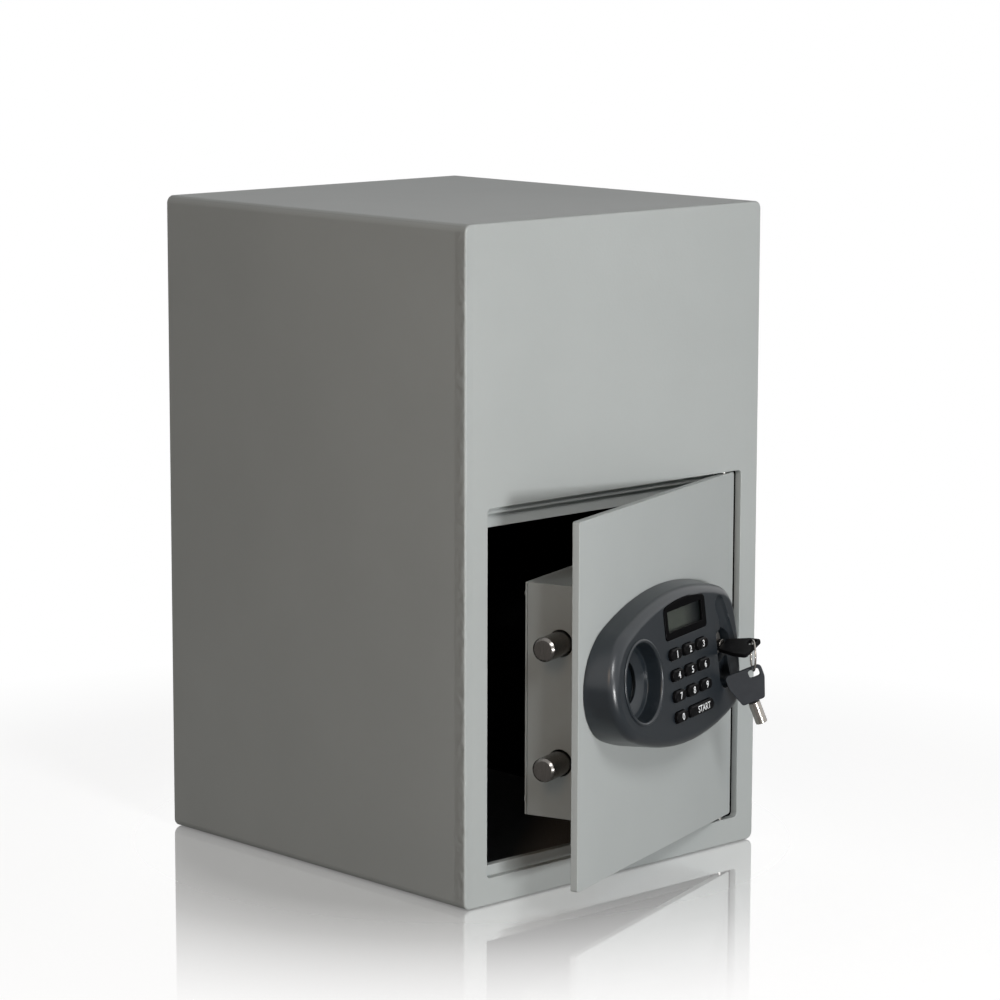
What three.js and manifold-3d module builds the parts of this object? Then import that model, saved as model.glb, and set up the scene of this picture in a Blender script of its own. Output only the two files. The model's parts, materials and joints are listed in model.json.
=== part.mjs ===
// Deposit safe with an electronic lock, door ajar. Millimetres, +Z up.
// Origin: middle of the base, on the floor. The front faces -Y.
import * as THREE from 'three';
import { mergeVertices } from 'three/addons/utils/BufferGeometryUtils.js';
import Module from 'manifold-3d';

const wasm = await Module();
wasm.setup();

const degree = Math.PI / 180;
const arc = 32;
const smallArc = 20;

// Cabinet, outside
const cabinetWidth = 308;
const cabinetDepth = 338;
const cabinetHeight = 500;
const bendRadius = 6;
const wallSheet = 2.5;
const backSheet = 2.5;
const frontPlateThickness = 6;

// Door opening in the front plate: margins to the outline, heights over the floor
const openingLeftMargin = 22.5;
const openingRightMargin = 18.4;
const openingBottom = 20.5;
const openingTop = 294.2;
const openingCorner = 3;

// Door
const doorThickness = 5.7;
const latchGap = 1.1;
const hingeGap = 3.6;
const sillGap = 2.5;
const headGap = 1.2;
const doorCorner = 2;
const pivotInset = 13;
const doorAjar = 18.4;
const pinDiameter = 3.5;
const pinReach = 8;
const pinSeat = 12;
const cableHole = 10;

// Gap between pieces that touch or run in each other
const seat = 0.3;

// Stops that the door closes on
const stopSheet = 3;
const latchStopReach = 4;
const latchStopDepth = 16.9;
const latchStopFoot = 12;
const sillStopReach = 7.9;
const sillStopReturn = 5.7;
const headStopReach = 5.2;
const headStopLap = 6;
const headStopStep = 8;
const headStopDrop = 11;
const headStopSheet = 2;
const stopPivotClear = 7;

// Bolt work, measured from the free edge of the door
const boltDiameter = 18;
const boltLength = 84;
const boltEdge = 1.5;
const boltTip = 6.9;
const boltAxisDepth = 26.6;
const boltSpacing = 88.6;
const boltMiddleHeight = 152.1;
const boltHoleDiameter = 19.7;
const boltBarThickness = 5;
const boltBarDepth = 20;
const boltBarOverlap = 12;
const rackModule = 1.6;
const pinionTeeth = 10;
const rackBacklash = 0.5;
const rackBody = 5;
const rackOffset = 24;
const rackTeeth = 9;
const pinionFromBar = 25;
const gearWidth = 7;
const armWidth = 8;
const armLeverGap = 1.5;
const lugWidth = 4;
const leverReach = 22;
const leverWidth = 7;
const leverThickness = 3;

// Lock case behind the door
const caseLeft = 34.4;
const caseRight = 226.4;
const caseBottom = 66;
const caseTop = 239;
const caseDepth = 55.4;
const caseSheet = 1.5;
const coverLip = 6;
const guideOffset = 31.6;
const guideThickness = 3;
const guideMargin = 14;
const guideReach = 42;

// Motor drive
const gearboxWidth = 34;
const gearboxHeight = 26;
const gearboxDepth = 15;
const gearboxRise = 4;
const gearboxLeg = 6;
const motorDiameter = 20;
const motorLength = 26;
const driveShaftDiameter = 4;

// Battery compartment, opened from the back of the case
const cellDiameter = 14.2;
const cellLength = 49.5;
const cellNub = 1.2;
const cellCount = 4;
const trayWall = 1.4;
const trayMiddle = [128, 118];
const lidThickness = 1.5;
const lidBorder = 3;
const railWidth = 2;
const railLip = 1.6;
const resetDiameter = 7;
const resetTravel = 1.5;
const resetPlace = [204.4, 110];

// Keypad housing, measured from the free edge of the door and over the floor
const housingMiddle = 168.4;
const housingNose = [[6.7, 0], [6.7, 22], [22.4, 36.3], [37.4, 41.7]];
const housingTopCentre = [130.4, -202.6];
const housingTopRadius = 261.4;
const housingTailCentre = [24.4, 0];
const housingTailRadius = 200;
const housingCornerRadius = 28;
const housingFaceHeight = 25.4;
const faceTilt = 6.84;
const housingDraft = 1.6;
const housingEdgeRadius = 7.5;
const housingWall = 2.5;

// Lock well, long groove and lock recess in the housing
const wellLeft = 180.8;
const wellRight = 206;
const wellBottom = 140;
const wellTop = 214;
const wellCorner = 9;
const wellFloorHeight = 20.1;
const wellFloorSlope = 0.1;
const grooveCentre = [-3.9, 102.5];
const grooveRadius = 220;
const grooveWidth = 16;
const grooveDepth = 5;
const grooveStart = 9;
const grooveEnd = 27;
const lockPlace = [196.4, 171];
const recessRadius = 13.5;
const recessFloor = 13;

// Finger cup
const cupPlace = [54.7, 169.5];
const cupRadius = 28.5;
const cupRim = 3;
const cupSheet = 1.5;
const cupLedgeRadius = 24.5;
const cupLedgeDepth = 11;
const cupLipRadius = 16.4;
const cupLipDepth = 15;
const cupPocketRadius = 20;
const cupBottomDepth = 19.6;

// Display
const bezelLeft = 96.6;
const bezelRight = 166;
const bezelBottom = 191.5;
const bezelTop = 215;
const bezelCrown = 3.7;
const bezelCorner = 3.5;
const bezelProud = 0.6;
const bezelDepth = 1.2;
const windowLeft = 101.7;
const windowRight = 159.3;
const windowBottom = 197.4;
const windowTop = 212.4;
const windowLap = 2;
const lensThickness = 1;

// Keys
const keyColumns = [107.6, 130.1, 152.6];
const keyRows = [180.6, 165.2, 149.8, 134.4];
const keyWidth = 17.3;
const keyHeight = 8;
const keyProud = 2.5;
const keyBevel = 0.8;
const keyGap = 0.4;
const keyFlange = 1;
const keyFlangeThickness = 1.2;
const keyTravel = 1.2;

// Circuit board
const boardThickness = 1.6;
const boardLeft = 90;
const boardRight = 172;
const boardBottom = 126;
const boardTop = 214;
const boardCorner = 2;
const postInset = 4;
const postRadius = 2.6;

// Override lock and its keys
const barrelDiameter = 19;
const barrelFlangeDiameter = 23;
const barrelFlange = 2.2;
const barrelBack = -28.5;
const plugDiameter = 13;
const keywayOuter = 10;
const keywayInner = 5.4;
const keywayDepth = 5;
const nutAcross = 26;
const nutThickness = 4;
const shankDiameter = 9;
const shankBore = 6.4;
const spareShankLength = 17;
const headFront = 22.2;
const headLength = 26;
const headThickness = 3;
const headWide = 29;
const headNarrow = 18;
const headCorner = 3;
const headHoleAcross = 8.4;
const headHoleAlong = 6;
const headHoleOffset = 7.6;
const headHoleRim = 2.2;
const headTilt = 14;
const ringRadius = 11.4;
const ringWire = 0.8;
const ringHeading = 57;
const ringShift = 7.3;
const ringDrop = 7.6;
const spareLean = 21;

// Deposit slot in the back, with the chute and the guards inside
const slotWidth = 230;
const slotHeight = 28;
const slotCorner = 4;
const slotFromTop = 64;
const collarWall = 3;
const collarDepth = 18;
const anchorDiameter = 12;
const anchorSpacing = 180;
const anchorHeight = 120;
const chuteSheet = 2;
const chuteUnderSlot = 14;
const chuteFall = 36;
const chuteRun = 108;
const chuteFlange = 18;
const baffleSheet = 2;
const baffleFromFront = 175;
const baffleUnderChute = 32;
const baffleFlange = 16;
const toothWidth = 14;
const toothHeight = 9;
const flapInset = 4;
const flapThickness = 1.6;
const flapDrop = 34;
const flapBarrel = 3.4;
const flapRodDiameter = 3;
const flapStandoff = 4;
const earThickness = 2;
const matThickness = 3;
const matMargin = 6;

// Values worked out from the sizes above
const frontY = -cabinetDepth / 2;
const backY = cabinetDepth / 2;
const insideBackY = backY - backSheet;
const behindFront = frontY + frontPlateThickness;
const openingLeft = -cabinetWidth / 2 + openingLeftMargin;
const openingRight = cabinetWidth / 2 - openingRightMargin;
const innerHalfWidth = cabinetWidth / 2 - wallSheet;
const doorWidth = openingRight - openingLeft - latchGap - hingeGap;
const doorBottom = openingBottom + sillGap;
const doorTop = openingTop - headGap;
const slotMiddleHeight = cabinetHeight - slotFromTop;
const chuteBackHeight = slotMiddleHeight - slotHeight / 2 - chuteUnderSlot;
const chuteFrontHeight = chuteBackHeight - chuteFall;
const baffleBottom = chuteFrontHeight - baffleUnderChute;
const flapWidth = slotWidth - 2 * flapInset;
const toolReach = 2 * housingFaceHeight;
const pivotFromFree = doorWidth - pivotInset;
const pivotX = openingRight - hingeGap - pivotInset;
const pivotY = frontY + doorThickness / 2;
const latchStopX = openingLeft + latchStopReach;
const stopEndX = pivotX - stopPivotClear;
const doorBack = -doorThickness - seat;
const caseBack = -doorThickness - caseDepth;
const boltAxis = -doorThickness - boltAxisDepth;
const boltHeights = [boltMiddleHeight - boltSpacing / 2, boltMiddleHeight + boltSpacing / 2];
const boltTail = boltTip + boltLength;
const barRight = boltTail + boltBarThickness;
const pitchRadius = (rackModule * pinionTeeth) / 2;
const rackPitch = Math.PI * rackModule;
const rackPitchHeight = boltMiddleHeight + rackOffset;
const rackRootHeight = rackPitchHeight - 1.25 * rackModule;
const pinionX = barRight + pinionFromBar;
const pinionHeight = rackPitchHeight + pitchRadius;
const gearBack = boltAxis - gearWidth / 2;
const leverBack = boltAxis - leverThickness / 2;
const armTop = lockPlace[1] - leverReach - armLeverGap;
const lugLeft = lockPlace[0] + leverReach + seat;
const faceSlope = Math.tan(faceTilt * degree);
const keyTop = -housingWall - seat;
const boardFace = keyTop - keyFlangeThickness - keyTravel - seat;

// Turns a closed geometry into a solid
function solid(geometry) {
  const bare = geometry.index ? geometry.toNonIndexed() : geometry.clone();
  for (const name of Object.keys(bare.attributes)) {
    if (name !== 'position') bare.deleteAttribute(name);
  }
  const merged = mergeVertices(bare, 1e-4);
  return new wasm.Manifold(new wasm.Mesh({
    numProp: 3,
    vertProperties: new Float32Array(merged.attributes.position.array),
    triVerts: new Uint32Array(merged.index.array),
  }));
}

// Turns a solid back into a geometry
function toGeometry(body) {
  const mesh = body.getMesh();
  const geometry = new THREE.BufferGeometry();
  geometry.setAttribute('position', new THREE.BufferAttribute(mesh.vertProperties, 3));
  geometry.setIndex(new THREE.BufferAttribute(mesh.triVerts, 1));
  return geometry;
}

function cut(base, ...tools) {
  return tools.reduce((body, tool) => body.subtract(tool), base);
}

function join(base, ...others) {
  return others.reduce((body, other) => body.add(other), base);
}

// Places a solid by the directions of its axes and its origin
function placed(body, xAxis, yAxis, zAxis, origin) {
  const matrix = new THREE.Matrix4().makeBasis(xAxis, yAxis, zAxis);
  matrix.setPosition(origin);
  return body.transform([...matrix.elements]);
}

// Traces a rectangle with rounded corners into a shape or a hole
function roundedRect(path, x0, y0, x1, y1, radius) {
  path.moveTo(x0 + radius, y0);
  path.lineTo(x1 - radius, y0);
  path.absarc(x1 - radius, y0 + radius, radius, -Math.PI / 2, 0, false);
  path.lineTo(x1, y1 - radius);
  path.absarc(x1 - radius, y1 - radius, radius, 0, Math.PI / 2, false);
  path.lineTo(x0 + radius, y1);
  path.absarc(x0 + radius, y1 - radius, radius, Math.PI / 2, Math.PI, false);
  path.lineTo(x0, y0 + radius);
  path.absarc(x0 + radius, y0 + radius, radius, Math.PI, Math.PI * 1.5, false);
  return path;
}

function roundedShape(x0, y0, x1, y1, radius) {
  return roundedRect(new THREE.Shape(), x0, y0, x1, y1, radius);
}

function roundedHole(x0, y0, x1, y1, radius) {
  return roundedRect(new THREE.Path(), x0, y0, x1, y1, radius);
}

function polygon(points) {
  return new THREE.Shape(points.map(([x, y]) => new THREE.Vector2(x, y)));
}

// A shape pushed from z0 to z1
function extruded(shape, z0, z1, steps = 4) {
  const geometry = new THREE.ExtrudeGeometry(shape, {
    depth: z1 - z0,
    bevelEnabled: false,
    curveSegments: steps,
  });
  geometry.translate(0, 0, z0);
  return solid(geometry);
}

// A section drawn in Y and Z, pushed along X
function alongX(points, x0, x1) {
  return placed(extruded(polygon(points), 0, x1 - x0), new THREE.Vector3(0, 1, 0),
    new THREE.Vector3(0, 0, 1), new THREE.Vector3(1, 0, 0), new THREE.Vector3(x0, 0, 0));
}

function block(x0, x1, y0, y1, z0, z1) {
  const geometry = new THREE.BoxGeometry(x1 - x0, y1 - y0, z1 - z0);
  geometry.translate((x0 + x1) / 2, (y0 + y1) / 2, (z0 + z1) / 2);
  return solid(geometry);
}

// A round bar along an axis from one end to the other, at a and b on the other two axes
function bar(axis, radius, from, to, a, b, sides = smallArc) {
  const geometry = new THREE.CylinderGeometry(radius, radius, to - from, sides);
  geometry.translate(0, (from + to) / 2, 0);
  if (axis === 'x') {
    geometry.rotateZ(-Math.PI / 2);
    geometry.translate(0, a, b);
  } else if (axis === 'y') {
    geometry.translate(a, 0, b);
  } else {
    geometry.rotateX(Math.PI / 2);
    geometry.translate(a, b, 0);
  }
  return solid(geometry);
}

// A turned piece about Z from points of radius and height, outside going up
function turned(profile, sides = arc) {
  const geometry = new THREE.LatheGeometry(profile.map(([r, z]) => new THREE.Vector2(r, z)), sides);
  geometry.rotateX(Math.PI / 2);
  return solid(geometry);
}

// A closed skin over rows of points, each row going round the same way
function skin(rows) {
  const count = rows[0].length;
  const positions = [];
  const triangle = (...corners) => corners.forEach((p) => positions.push(...p));
  for (let k = 0; k + 1 < rows.length; k += 1) {
    for (let i = 0; i < count; i += 1) {
      const j = (i + 1) % count;
      triangle(rows[k][i], rows[k][j], rows[k + 1][j]);
      triangle(rows[k][i], rows[k + 1][j], rows[k + 1][i]);
    }
  }
  const middle = (row) => [0, 1, 2].map((a) => row.reduce((sum, p) => sum + p[a], 0) / count);
  const first = middle(rows[0]);
  const last = middle(rows[rows.length - 1]);
  for (let i = 0; i < count; i += 1) {
    const j = (i + 1) % count;
    triangle(first, rows[0][j], rows[0][i]);
    triangle(last, rows[rows.length - 1][i], rows[rows.length - 1][j]);
  }
  const geometry = new THREE.BufferGeometry();
  geometry.setAttribute('position', new THREE.Float32BufferAttribute(positions, 3));
  return solid(geometry);
}

// An outline stacked in rings, each with its inset and its height
function stacked(outline, rings) {
  return skin(rings.map(([inset, height]) => outline.map(({ x, y, nx, ny }) => {
    const px = x - nx * inset;
    const py = y - ny * inset;
    return [px, py, typeof height === 'number' ? height : height(py)];
  })));
}

// Outline of a rectangle with half-round ends
function pillOutline(cx, cy, width, height, steps = 5) {
  const radius = height / 2;
  const reach = width / 2 - radius;
  const points = [];
  for (const side of [1, -1]) {
    for (let i = 0; i <= steps; i += 1) {
      const angle = (side > 0 ? -Math.PI / 2 : Math.PI / 2) + (Math.PI * i) / steps;
      const nx = Math.cos(angle);
      const ny = Math.sin(angle);
      points.push({ x: cx + side * reach + nx * radius, y: cy + ny * radius, nx, ny });
    }
  }
  return points;
}

// Centre of the circle of radius r that touches two larger circles from the inside
function fillet(c1, r1, c2, r2, r) {
  const d1 = r1 - r;
  const d2 = r2 - r;
  const dx = c2[0] - c1[0];
  const dy = c2[1] - c1[1];
  const gap = Math.hypot(dx, dy);
  const along = (gap * gap + d1 * d1 - d2 * d2) / (2 * gap);
  const across = Math.sqrt(d1 * d1 - along * along);
  return [c1[0] + (dx * along + dy * across) / gap, c1[1] + (dy * along - dx * across) / gap];
}

// Outline of the keypad housing: nose curve, crest, corner and tail, mirrored below
function housingOutline() {
  const corner = fillet(housingTopCentre, housingTopRadius, housingTailCentre, housingTailRadius,
    housingCornerRadius);
  const direction = (from, to) => Math.atan2(to[1] - from[1], to[0] - from[0]);
  const half = [];
  const curve = new THREE.CubicBezierCurve(...housingNose.map(([x, y]) => new THREE.Vector2(x, y)));
  const noseSteps = 8;
  for (let i = 0; i < noseSteps; i += 1) {
    const point = curve.getPoint(i / noseSteps);
    const tangent = curve.getTangent(i / noseSteps);
    half.push({ x: point.x, y: point.y, nx: -tangent.y, ny: tangent.x });
  }
  const sweep = (centre, radius, from, to, steps, last) => {
    for (let i = 0; i < steps + last; i += 1) {
      const angle = from + ((to - from) * i) / steps;
      const nx = Math.cos(angle);
      const ny = Math.sin(angle);
      half.push({ x: centre[0] + radius * nx, y: centre[1] + radius * ny, nx, ny });
    }
  };
  const crestStart = direction(housingTopCentre, housingNose[3]);
  const crestEnd = direction(housingTopCentre, corner);
  const tailStart = direction(housingTailCentre, corner);
  sweep(housingTopCentre, housingTopRadius, crestStart, crestEnd, 9, 0);
  sweep(corner, housingCornerRadius, crestEnd, tailStart, 6, 0);
  sweep(housingTailCentre, housingTailRadius, tailStart, 0, 3, 1);
  const upper = half.map((p) => ({ ...p, y: housingMiddle + p.y })).reverse();
  const lower = half.slice(1, -1).map((p) => ({ ...p, y: housingMiddle - p.y, ny: -p.ny }));
  return [...upper, ...lower];
}

function faceHeightAt(height) {
  return housingFaceHeight - (height - housingMiddle) * faceSlope;
}

// Height along the tilted face of a point at a height over the floor
function faceY(height) {
  return (height - housingMiddle) / Math.cos(faceTilt * degree);
}

// Moves a solid made on the tilted face into the panel frame
function faceToPanel(body) {
  return body.rotate([-faceTilt, 0, 0]).translate([0, housingMiddle, housingFaceHeight]);
}

// Finishes, as seen in the photograph
const finish = {
  paint: { color: 0x9b9c99, roughness: 0.55, metalness: 0.2 },
  steel: { color: 0x8f8d8a, roughness: 0.3, metalness: 1 },
  zinc: { color: 0xa8aaa6, roughness: 0.45, metalness: 0.9 },
  charcoal: { color: 0x33373b, roughness: 0.42, metalness: 0 },
  black: { color: 0x0b0b0c, roughness: 0.45, metalness: 0 },
  glass: { color: 0x20262a, roughness: 0.05, metalness: 0 },
  display: { color: 0x6f7a70, roughness: 0.35, metalness: 0 },
  board: { color: 0x1e4a2e, roughness: 0.5, metalness: 0 },
  felt: { color: 0x141414, roughness: 1, metalness: 0 },
  brass: { color: 0xb08d4a, roughness: 0.35, metalness: 1 },
  cell: { color: 0x2c2f33, roughness: 0.35, metalness: 0.3 },
  red: { color: 0xa3201c, roughness: 0.4, metalness: 0 },
};
const materials = Object.fromEntries(
  Object.entries(finish).map(([name, values]) => [name, new THREE.MeshStandardMaterial(values)]),
);

function addPart(parent, name, body, material) {
  const mesh = new THREE.Mesh(toGeometry(body), materials[material]);
  mesh.name = name;
  parent.add(mesh);
}

const safe = new THREE.Group();

// Front frame: x, height, and distance outward from the front plane
const front = new THREE.Group();
front.position.set(0, frontY, 0);
front.rotation.x = Math.PI / 2;
safe.add(front);

// The door turns about its pivot line
const door = new THREE.Group();
door.position.set(pivotX, pivotY, 0);
door.rotation.z = doorAjar * degree;
safe.add(door);

// Panel frame: distance from the free edge, height, and distance outward from the door's front
const panel = new THREE.Group();
panel.position.set(-pivotFromFree, -doorThickness / 2, 0);
panel.rotation.x = Math.PI / 2;
door.add(panel);

// Face frame: on the tilted face of the keypad housing, with its normal as +Z
const face = new THREE.Group();
face.position.set(0, housingMiddle, housingFaceHeight);
face.rotation.x = -faceTilt * degree;
panel.add(face);

// Cabinet: the bent wrap, the front plate and the back plate
function addCabinet() {
  const half = cabinetWidth / 2;
  const wrapShape = roundedShape(-half, 0, half, cabinetHeight, bendRadius);
  wrapShape.holes.push(roundedHole(-innerHalfWidth, wallSheet, innerHalfWidth,
    cabinetHeight - wallSheet, bendRadius - wallSheet));
  let wrap = extruded(wrapShape, -cabinetDepth + backSheet, -frontPlateThickness);
  for (const side of [-1, 1]) {
    wrap = cut(wrap, bar('y', anchorDiameter / 2, -1, wallSheet + 1, side * anchorSpacing / 2,
      -cabinetDepth / 2));
  }
  addPart(front, 'body_wrap', wrap, 'paint');

  const plateShape = roundedShape(-half, 0, half, cabinetHeight, bendRadius);
  plateShape.holes.push(roundedHole(openingLeft, openingBottom, openingRight, openingTop,
    openingCorner));
  const middle = -doorThickness / 2;
  const bore = pinDiameter / 2 + seat;
  addPart(front, 'front_plate', cut(extruded(plateShape, -frontPlateThickness, 0),
    bar('y', bore, openingBottom - pinReach - 1, openingBottom + 1, pivotX, middle, 16),
    bar('y', bore, openingTop - 1, openingTop + pinReach + 1, pivotX, middle, 16)), 'paint');

  const backShape = roundedShape(-half, 0, half, cabinetHeight, bendRadius);
  backShape.holes.push(roundedHole(-slotWidth / 2, slotMiddleHeight - slotHeight / 2,
    slotWidth / 2, slotMiddleHeight + slotHeight / 2, slotCorner));
  let back = extruded(backShape, -cabinetDepth, -cabinetDepth + backSheet);
  for (const side of [-1, 1]) {
    back = cut(back, bar('z', anchorDiameter / 2, -cabinetDepth - 1, -cabinetDepth + backSheet + 1,
      side * anchorSpacing / 2, anchorHeight));
  }
  addPart(front, 'back_plate', back, 'paint');
}

// Stops welded behind the front plate; the bolts catch behind the latch stop
function addStops() {
  const y0 = behindFront;
  const y1 = behindFront + latchStopDepth;
  const headBottom = openingTop - headStopReach;
  const sillTop = openingBottom + sillStopReach;
  const latch = polygon([
    [-innerHalfWidth, y0], [latchStopX, y0], [latchStopX, y1], [latchStopX - latchStopFoot, y1],
    [latchStopX - latchStopFoot, y1 - stopSheet], [latchStopX - stopSheet, y1 - stopSheet],
    [latchStopX - stopSheet, y0 + stopSheet], [-innerHalfWidth, y0 + stopSheet],
  ]);
  addPart(safe, 'latch_stop', extruded(latch, bendRadius, headBottom), 'paint');

  addPart(safe, 'sill_stop', alongX([
    [y0, wallSheet], [y0 + stopSheet, wallSheet], [y0 + stopSheet, sillTop - stopSheet],
    [y0 + sillStopReturn, sillTop - stopSheet], [y0 + sillStopReturn, sillTop], [y0, sillTop],
  ], latchStopX, stopEndX), 'paint');

  const stepY = y0 + headStopStep;
  const head = alongX([
    [y0, headBottom], [stepY - headStopSheet, headBottom],
    [stepY - headStopSheet, headBottom - headStopDrop], [stepY, headBottom - headStopDrop],
    [stepY, headBottom + headStopSheet], [y0 + headStopSheet, headBottom + headStopSheet],
    [y0 + headStopSheet, openingTop + headStopLap], [y0, openingTop + headStopLap],
  ], -innerHalfWidth, stopEndX);
  addPart(safe, 'head_stop', cut(head, block(-cabinetWidth, latchStopX, y0 - 1, stepY + 1,
    headBottom - headStopDrop - 1, headBottom)), 'paint');
}

// Deposit slot, the chute under it and the saw-tooth guard in front of it
function addDepositPath() {
  const slotBottom = slotMiddleHeight - slotHeight / 2 + seat;
  const slotTop = slotMiddleHeight + slotHeight / 2 - seat;
  const reach = slotWidth / 2 - seat;
  const collar = roundedShape(-reach, slotBottom, reach, slotTop, slotCorner);
  collar.holes.push(roundedHole(-reach + collarWall, slotBottom + collarWall, reach - collarWall,
    slotTop - collarWall, slotCorner - collarWall / 2));
  addPart(front, 'slot_collar', extruded(collar, -cabinetDepth, -cabinetDepth + collarDepth),
    'steel');

  const span = innerHalfWidth - seat;
  const chuteY = insideBackY - chuteSheet;
  addPart(safe, 'chute_plate', alongX([
    [insideBackY, chuteBackHeight - chuteFlange], [insideBackY, chuteBackHeight],
    [chuteY, chuteBackHeight], [insideBackY - chuteRun, chuteFrontHeight],
    [insideBackY - chuteRun, chuteFrontHeight - chuteSheet], [chuteY, chuteBackHeight - chuteSheet],
    [chuteY, chuteBackHeight - chuteFlange],
  ], -span, span), 'zinc');

  const ceiling = cabinetHeight - wallSheet;
  const baffleH = -baffleFromFront;
  const count = Math.floor((2 * span) / toothWidth);
  const pitch = (2 * span) / count;
  const flangeReach = span - bendRadius;
  const edge = [[-flangeReach, ceiling], [-span, ceiling - bendRadius],
    [-span, baffleBottom + toothHeight]];
  for (let i = 0; i < count; i += 1) {
    edge.push([-span + (i + 0.5) * pitch, baffleBottom]);
    edge.push([-span + (i + 1) * pitch, baffleBottom + toothHeight]);
  }
  edge.push([span, ceiling - bendRadius], [flangeReach, ceiling]);
  const guard = extruded(polygon(edge), baffleH, baffleH + baffleSheet);
  addPart(front, 'baffle_plate', join(guard, block(-flangeReach, flangeReach, ceiling - baffleSheet,
    ceiling, baffleH - baffleFlange, baffleH + baffleSheet)), 'zinc');
}

// Flap that hangs behind the slot on a rod between two ears
function addFlap() {
  const rodY = backY - collarDepth - flapStandoff;
  const rodZ = slotMiddleHeight + slotHeight / 2 + flapBarrel + 1;
  const earFace = flapWidth / 2 + seat;
  const earBack = earFace + earThickness;
  const bracketBottom = rodZ - flapBarrel;
  const bracketTop = rodZ + 3 * flapBarrel;
  const bore = flapRodDiameter / 2 + seat;
  let bracket = block(-earBack, earBack, insideBackY - earThickness, insideBackY, bracketBottom,
    bracketTop);
  for (const x of [-earBack, earFace]) {
    bracket = join(bracket, block(x, x + earThickness, rodY - flapBarrel, insideBackY,
      bracketBottom, bracketTop));
  }
  addPart(safe, 'flap_bracket', cut(bracket, bar('x', bore, -cabinetWidth, cabinetWidth, rodY,
    rodZ, 16)), 'zinc');

  const rodEnd = earBack + seat;
  const rodRadius = flapRodDiameter / 2;
  addPart(safe, 'flap_rod', join(bar('x', rodRadius, -rodEnd - 1, rodEnd + 1, rodY, rodZ, 16),
    bar('x', flapRodDiameter, -rodEnd - 1.5, -rodEnd, rodY, rodZ, 16),
    bar('x', flapRodDiameter, rodEnd, rodEnd + 1.5, rodY, rodZ, 16)), 'steel');

  const flapFace = rodY + flapBarrel - seat;
  addPart(safe, 'deposit_flap', cut(
    join(bar('x', flapBarrel, -flapWidth / 2, flapWidth / 2, rodY, rodZ, 16),
      block(-flapWidth / 2, flapWidth / 2, flapFace - flapThickness, flapFace,
        rodZ - flapDrop, rodZ)),
    bar('x', bore, -cabinetWidth, cabinetWidth, rodY, rodZ, 16)), 'zinc');
}

function addMat() {
  const side = innerHalfWidth - matMargin;
  addPart(safe, 'floor_mat', block(-side, side, behindFront + latchStopDepth + matMargin,
    insideBackY - matMargin, wallSheet, wallSheet + matThickness), 'felt');
}

// Door plate with the pins it turns on
function addDoorPlate() {
  const middle = -doorThickness / 2;
  const bore = pinDiameter / 2 + seat;
  const plate = extruded(roundedShape(0, doorBottom, doorWidth, doorTop, doorCorner),
    -doorThickness, 0, 3);
  addPart(panel, 'door_plate', cut(plate,
    bar('z', barrelDiameter / 2 + seat, -doorThickness - 1, 1, ...lockPlace, 28),
    bar('z', cableHole / 2, -doorThickness - 1, 1, keyColumns[1], keyRows[1]),
    bar('y', bore, doorBottom - 1, doorBottom + pinSeat, pivotFromFree, middle, 16),
    bar('y', bore, doorTop - pinSeat, doorTop + 1, pivotFromFree, middle, 16)), 'paint');
  addPart(panel, 'hinge_pin_lower', bar('y', pinDiameter / 2, openingBottom - pinReach,
    doorBottom + pinSeat - seat, pivotFromFree, middle, 16), 'steel');
  addPart(panel, 'hinge_pin_upper', bar('y', pinDiameter / 2, doorTop - pinSeat + seat,
    openingTop + pinReach, pivotFromFree, middle, 16), 'steel');
}

// Battery tray sizes, used by the case cover too
const trayInnerLength = cellLength + cellNub + 2 * seat;
const trayInnerHeight = cellCount * cellDiameter + (cellCount + 1) * seat;
const trayLeft = trayMiddle[0] - trayInnerLength / 2;
const trayRight = trayLeft + trayInnerLength;
const trayBottom = trayMiddle[1] - trayInnerHeight / 2;
const trayTop = trayBottom + trayInnerHeight;
const trayBack = caseBack + caseSheet + seat;

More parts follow.
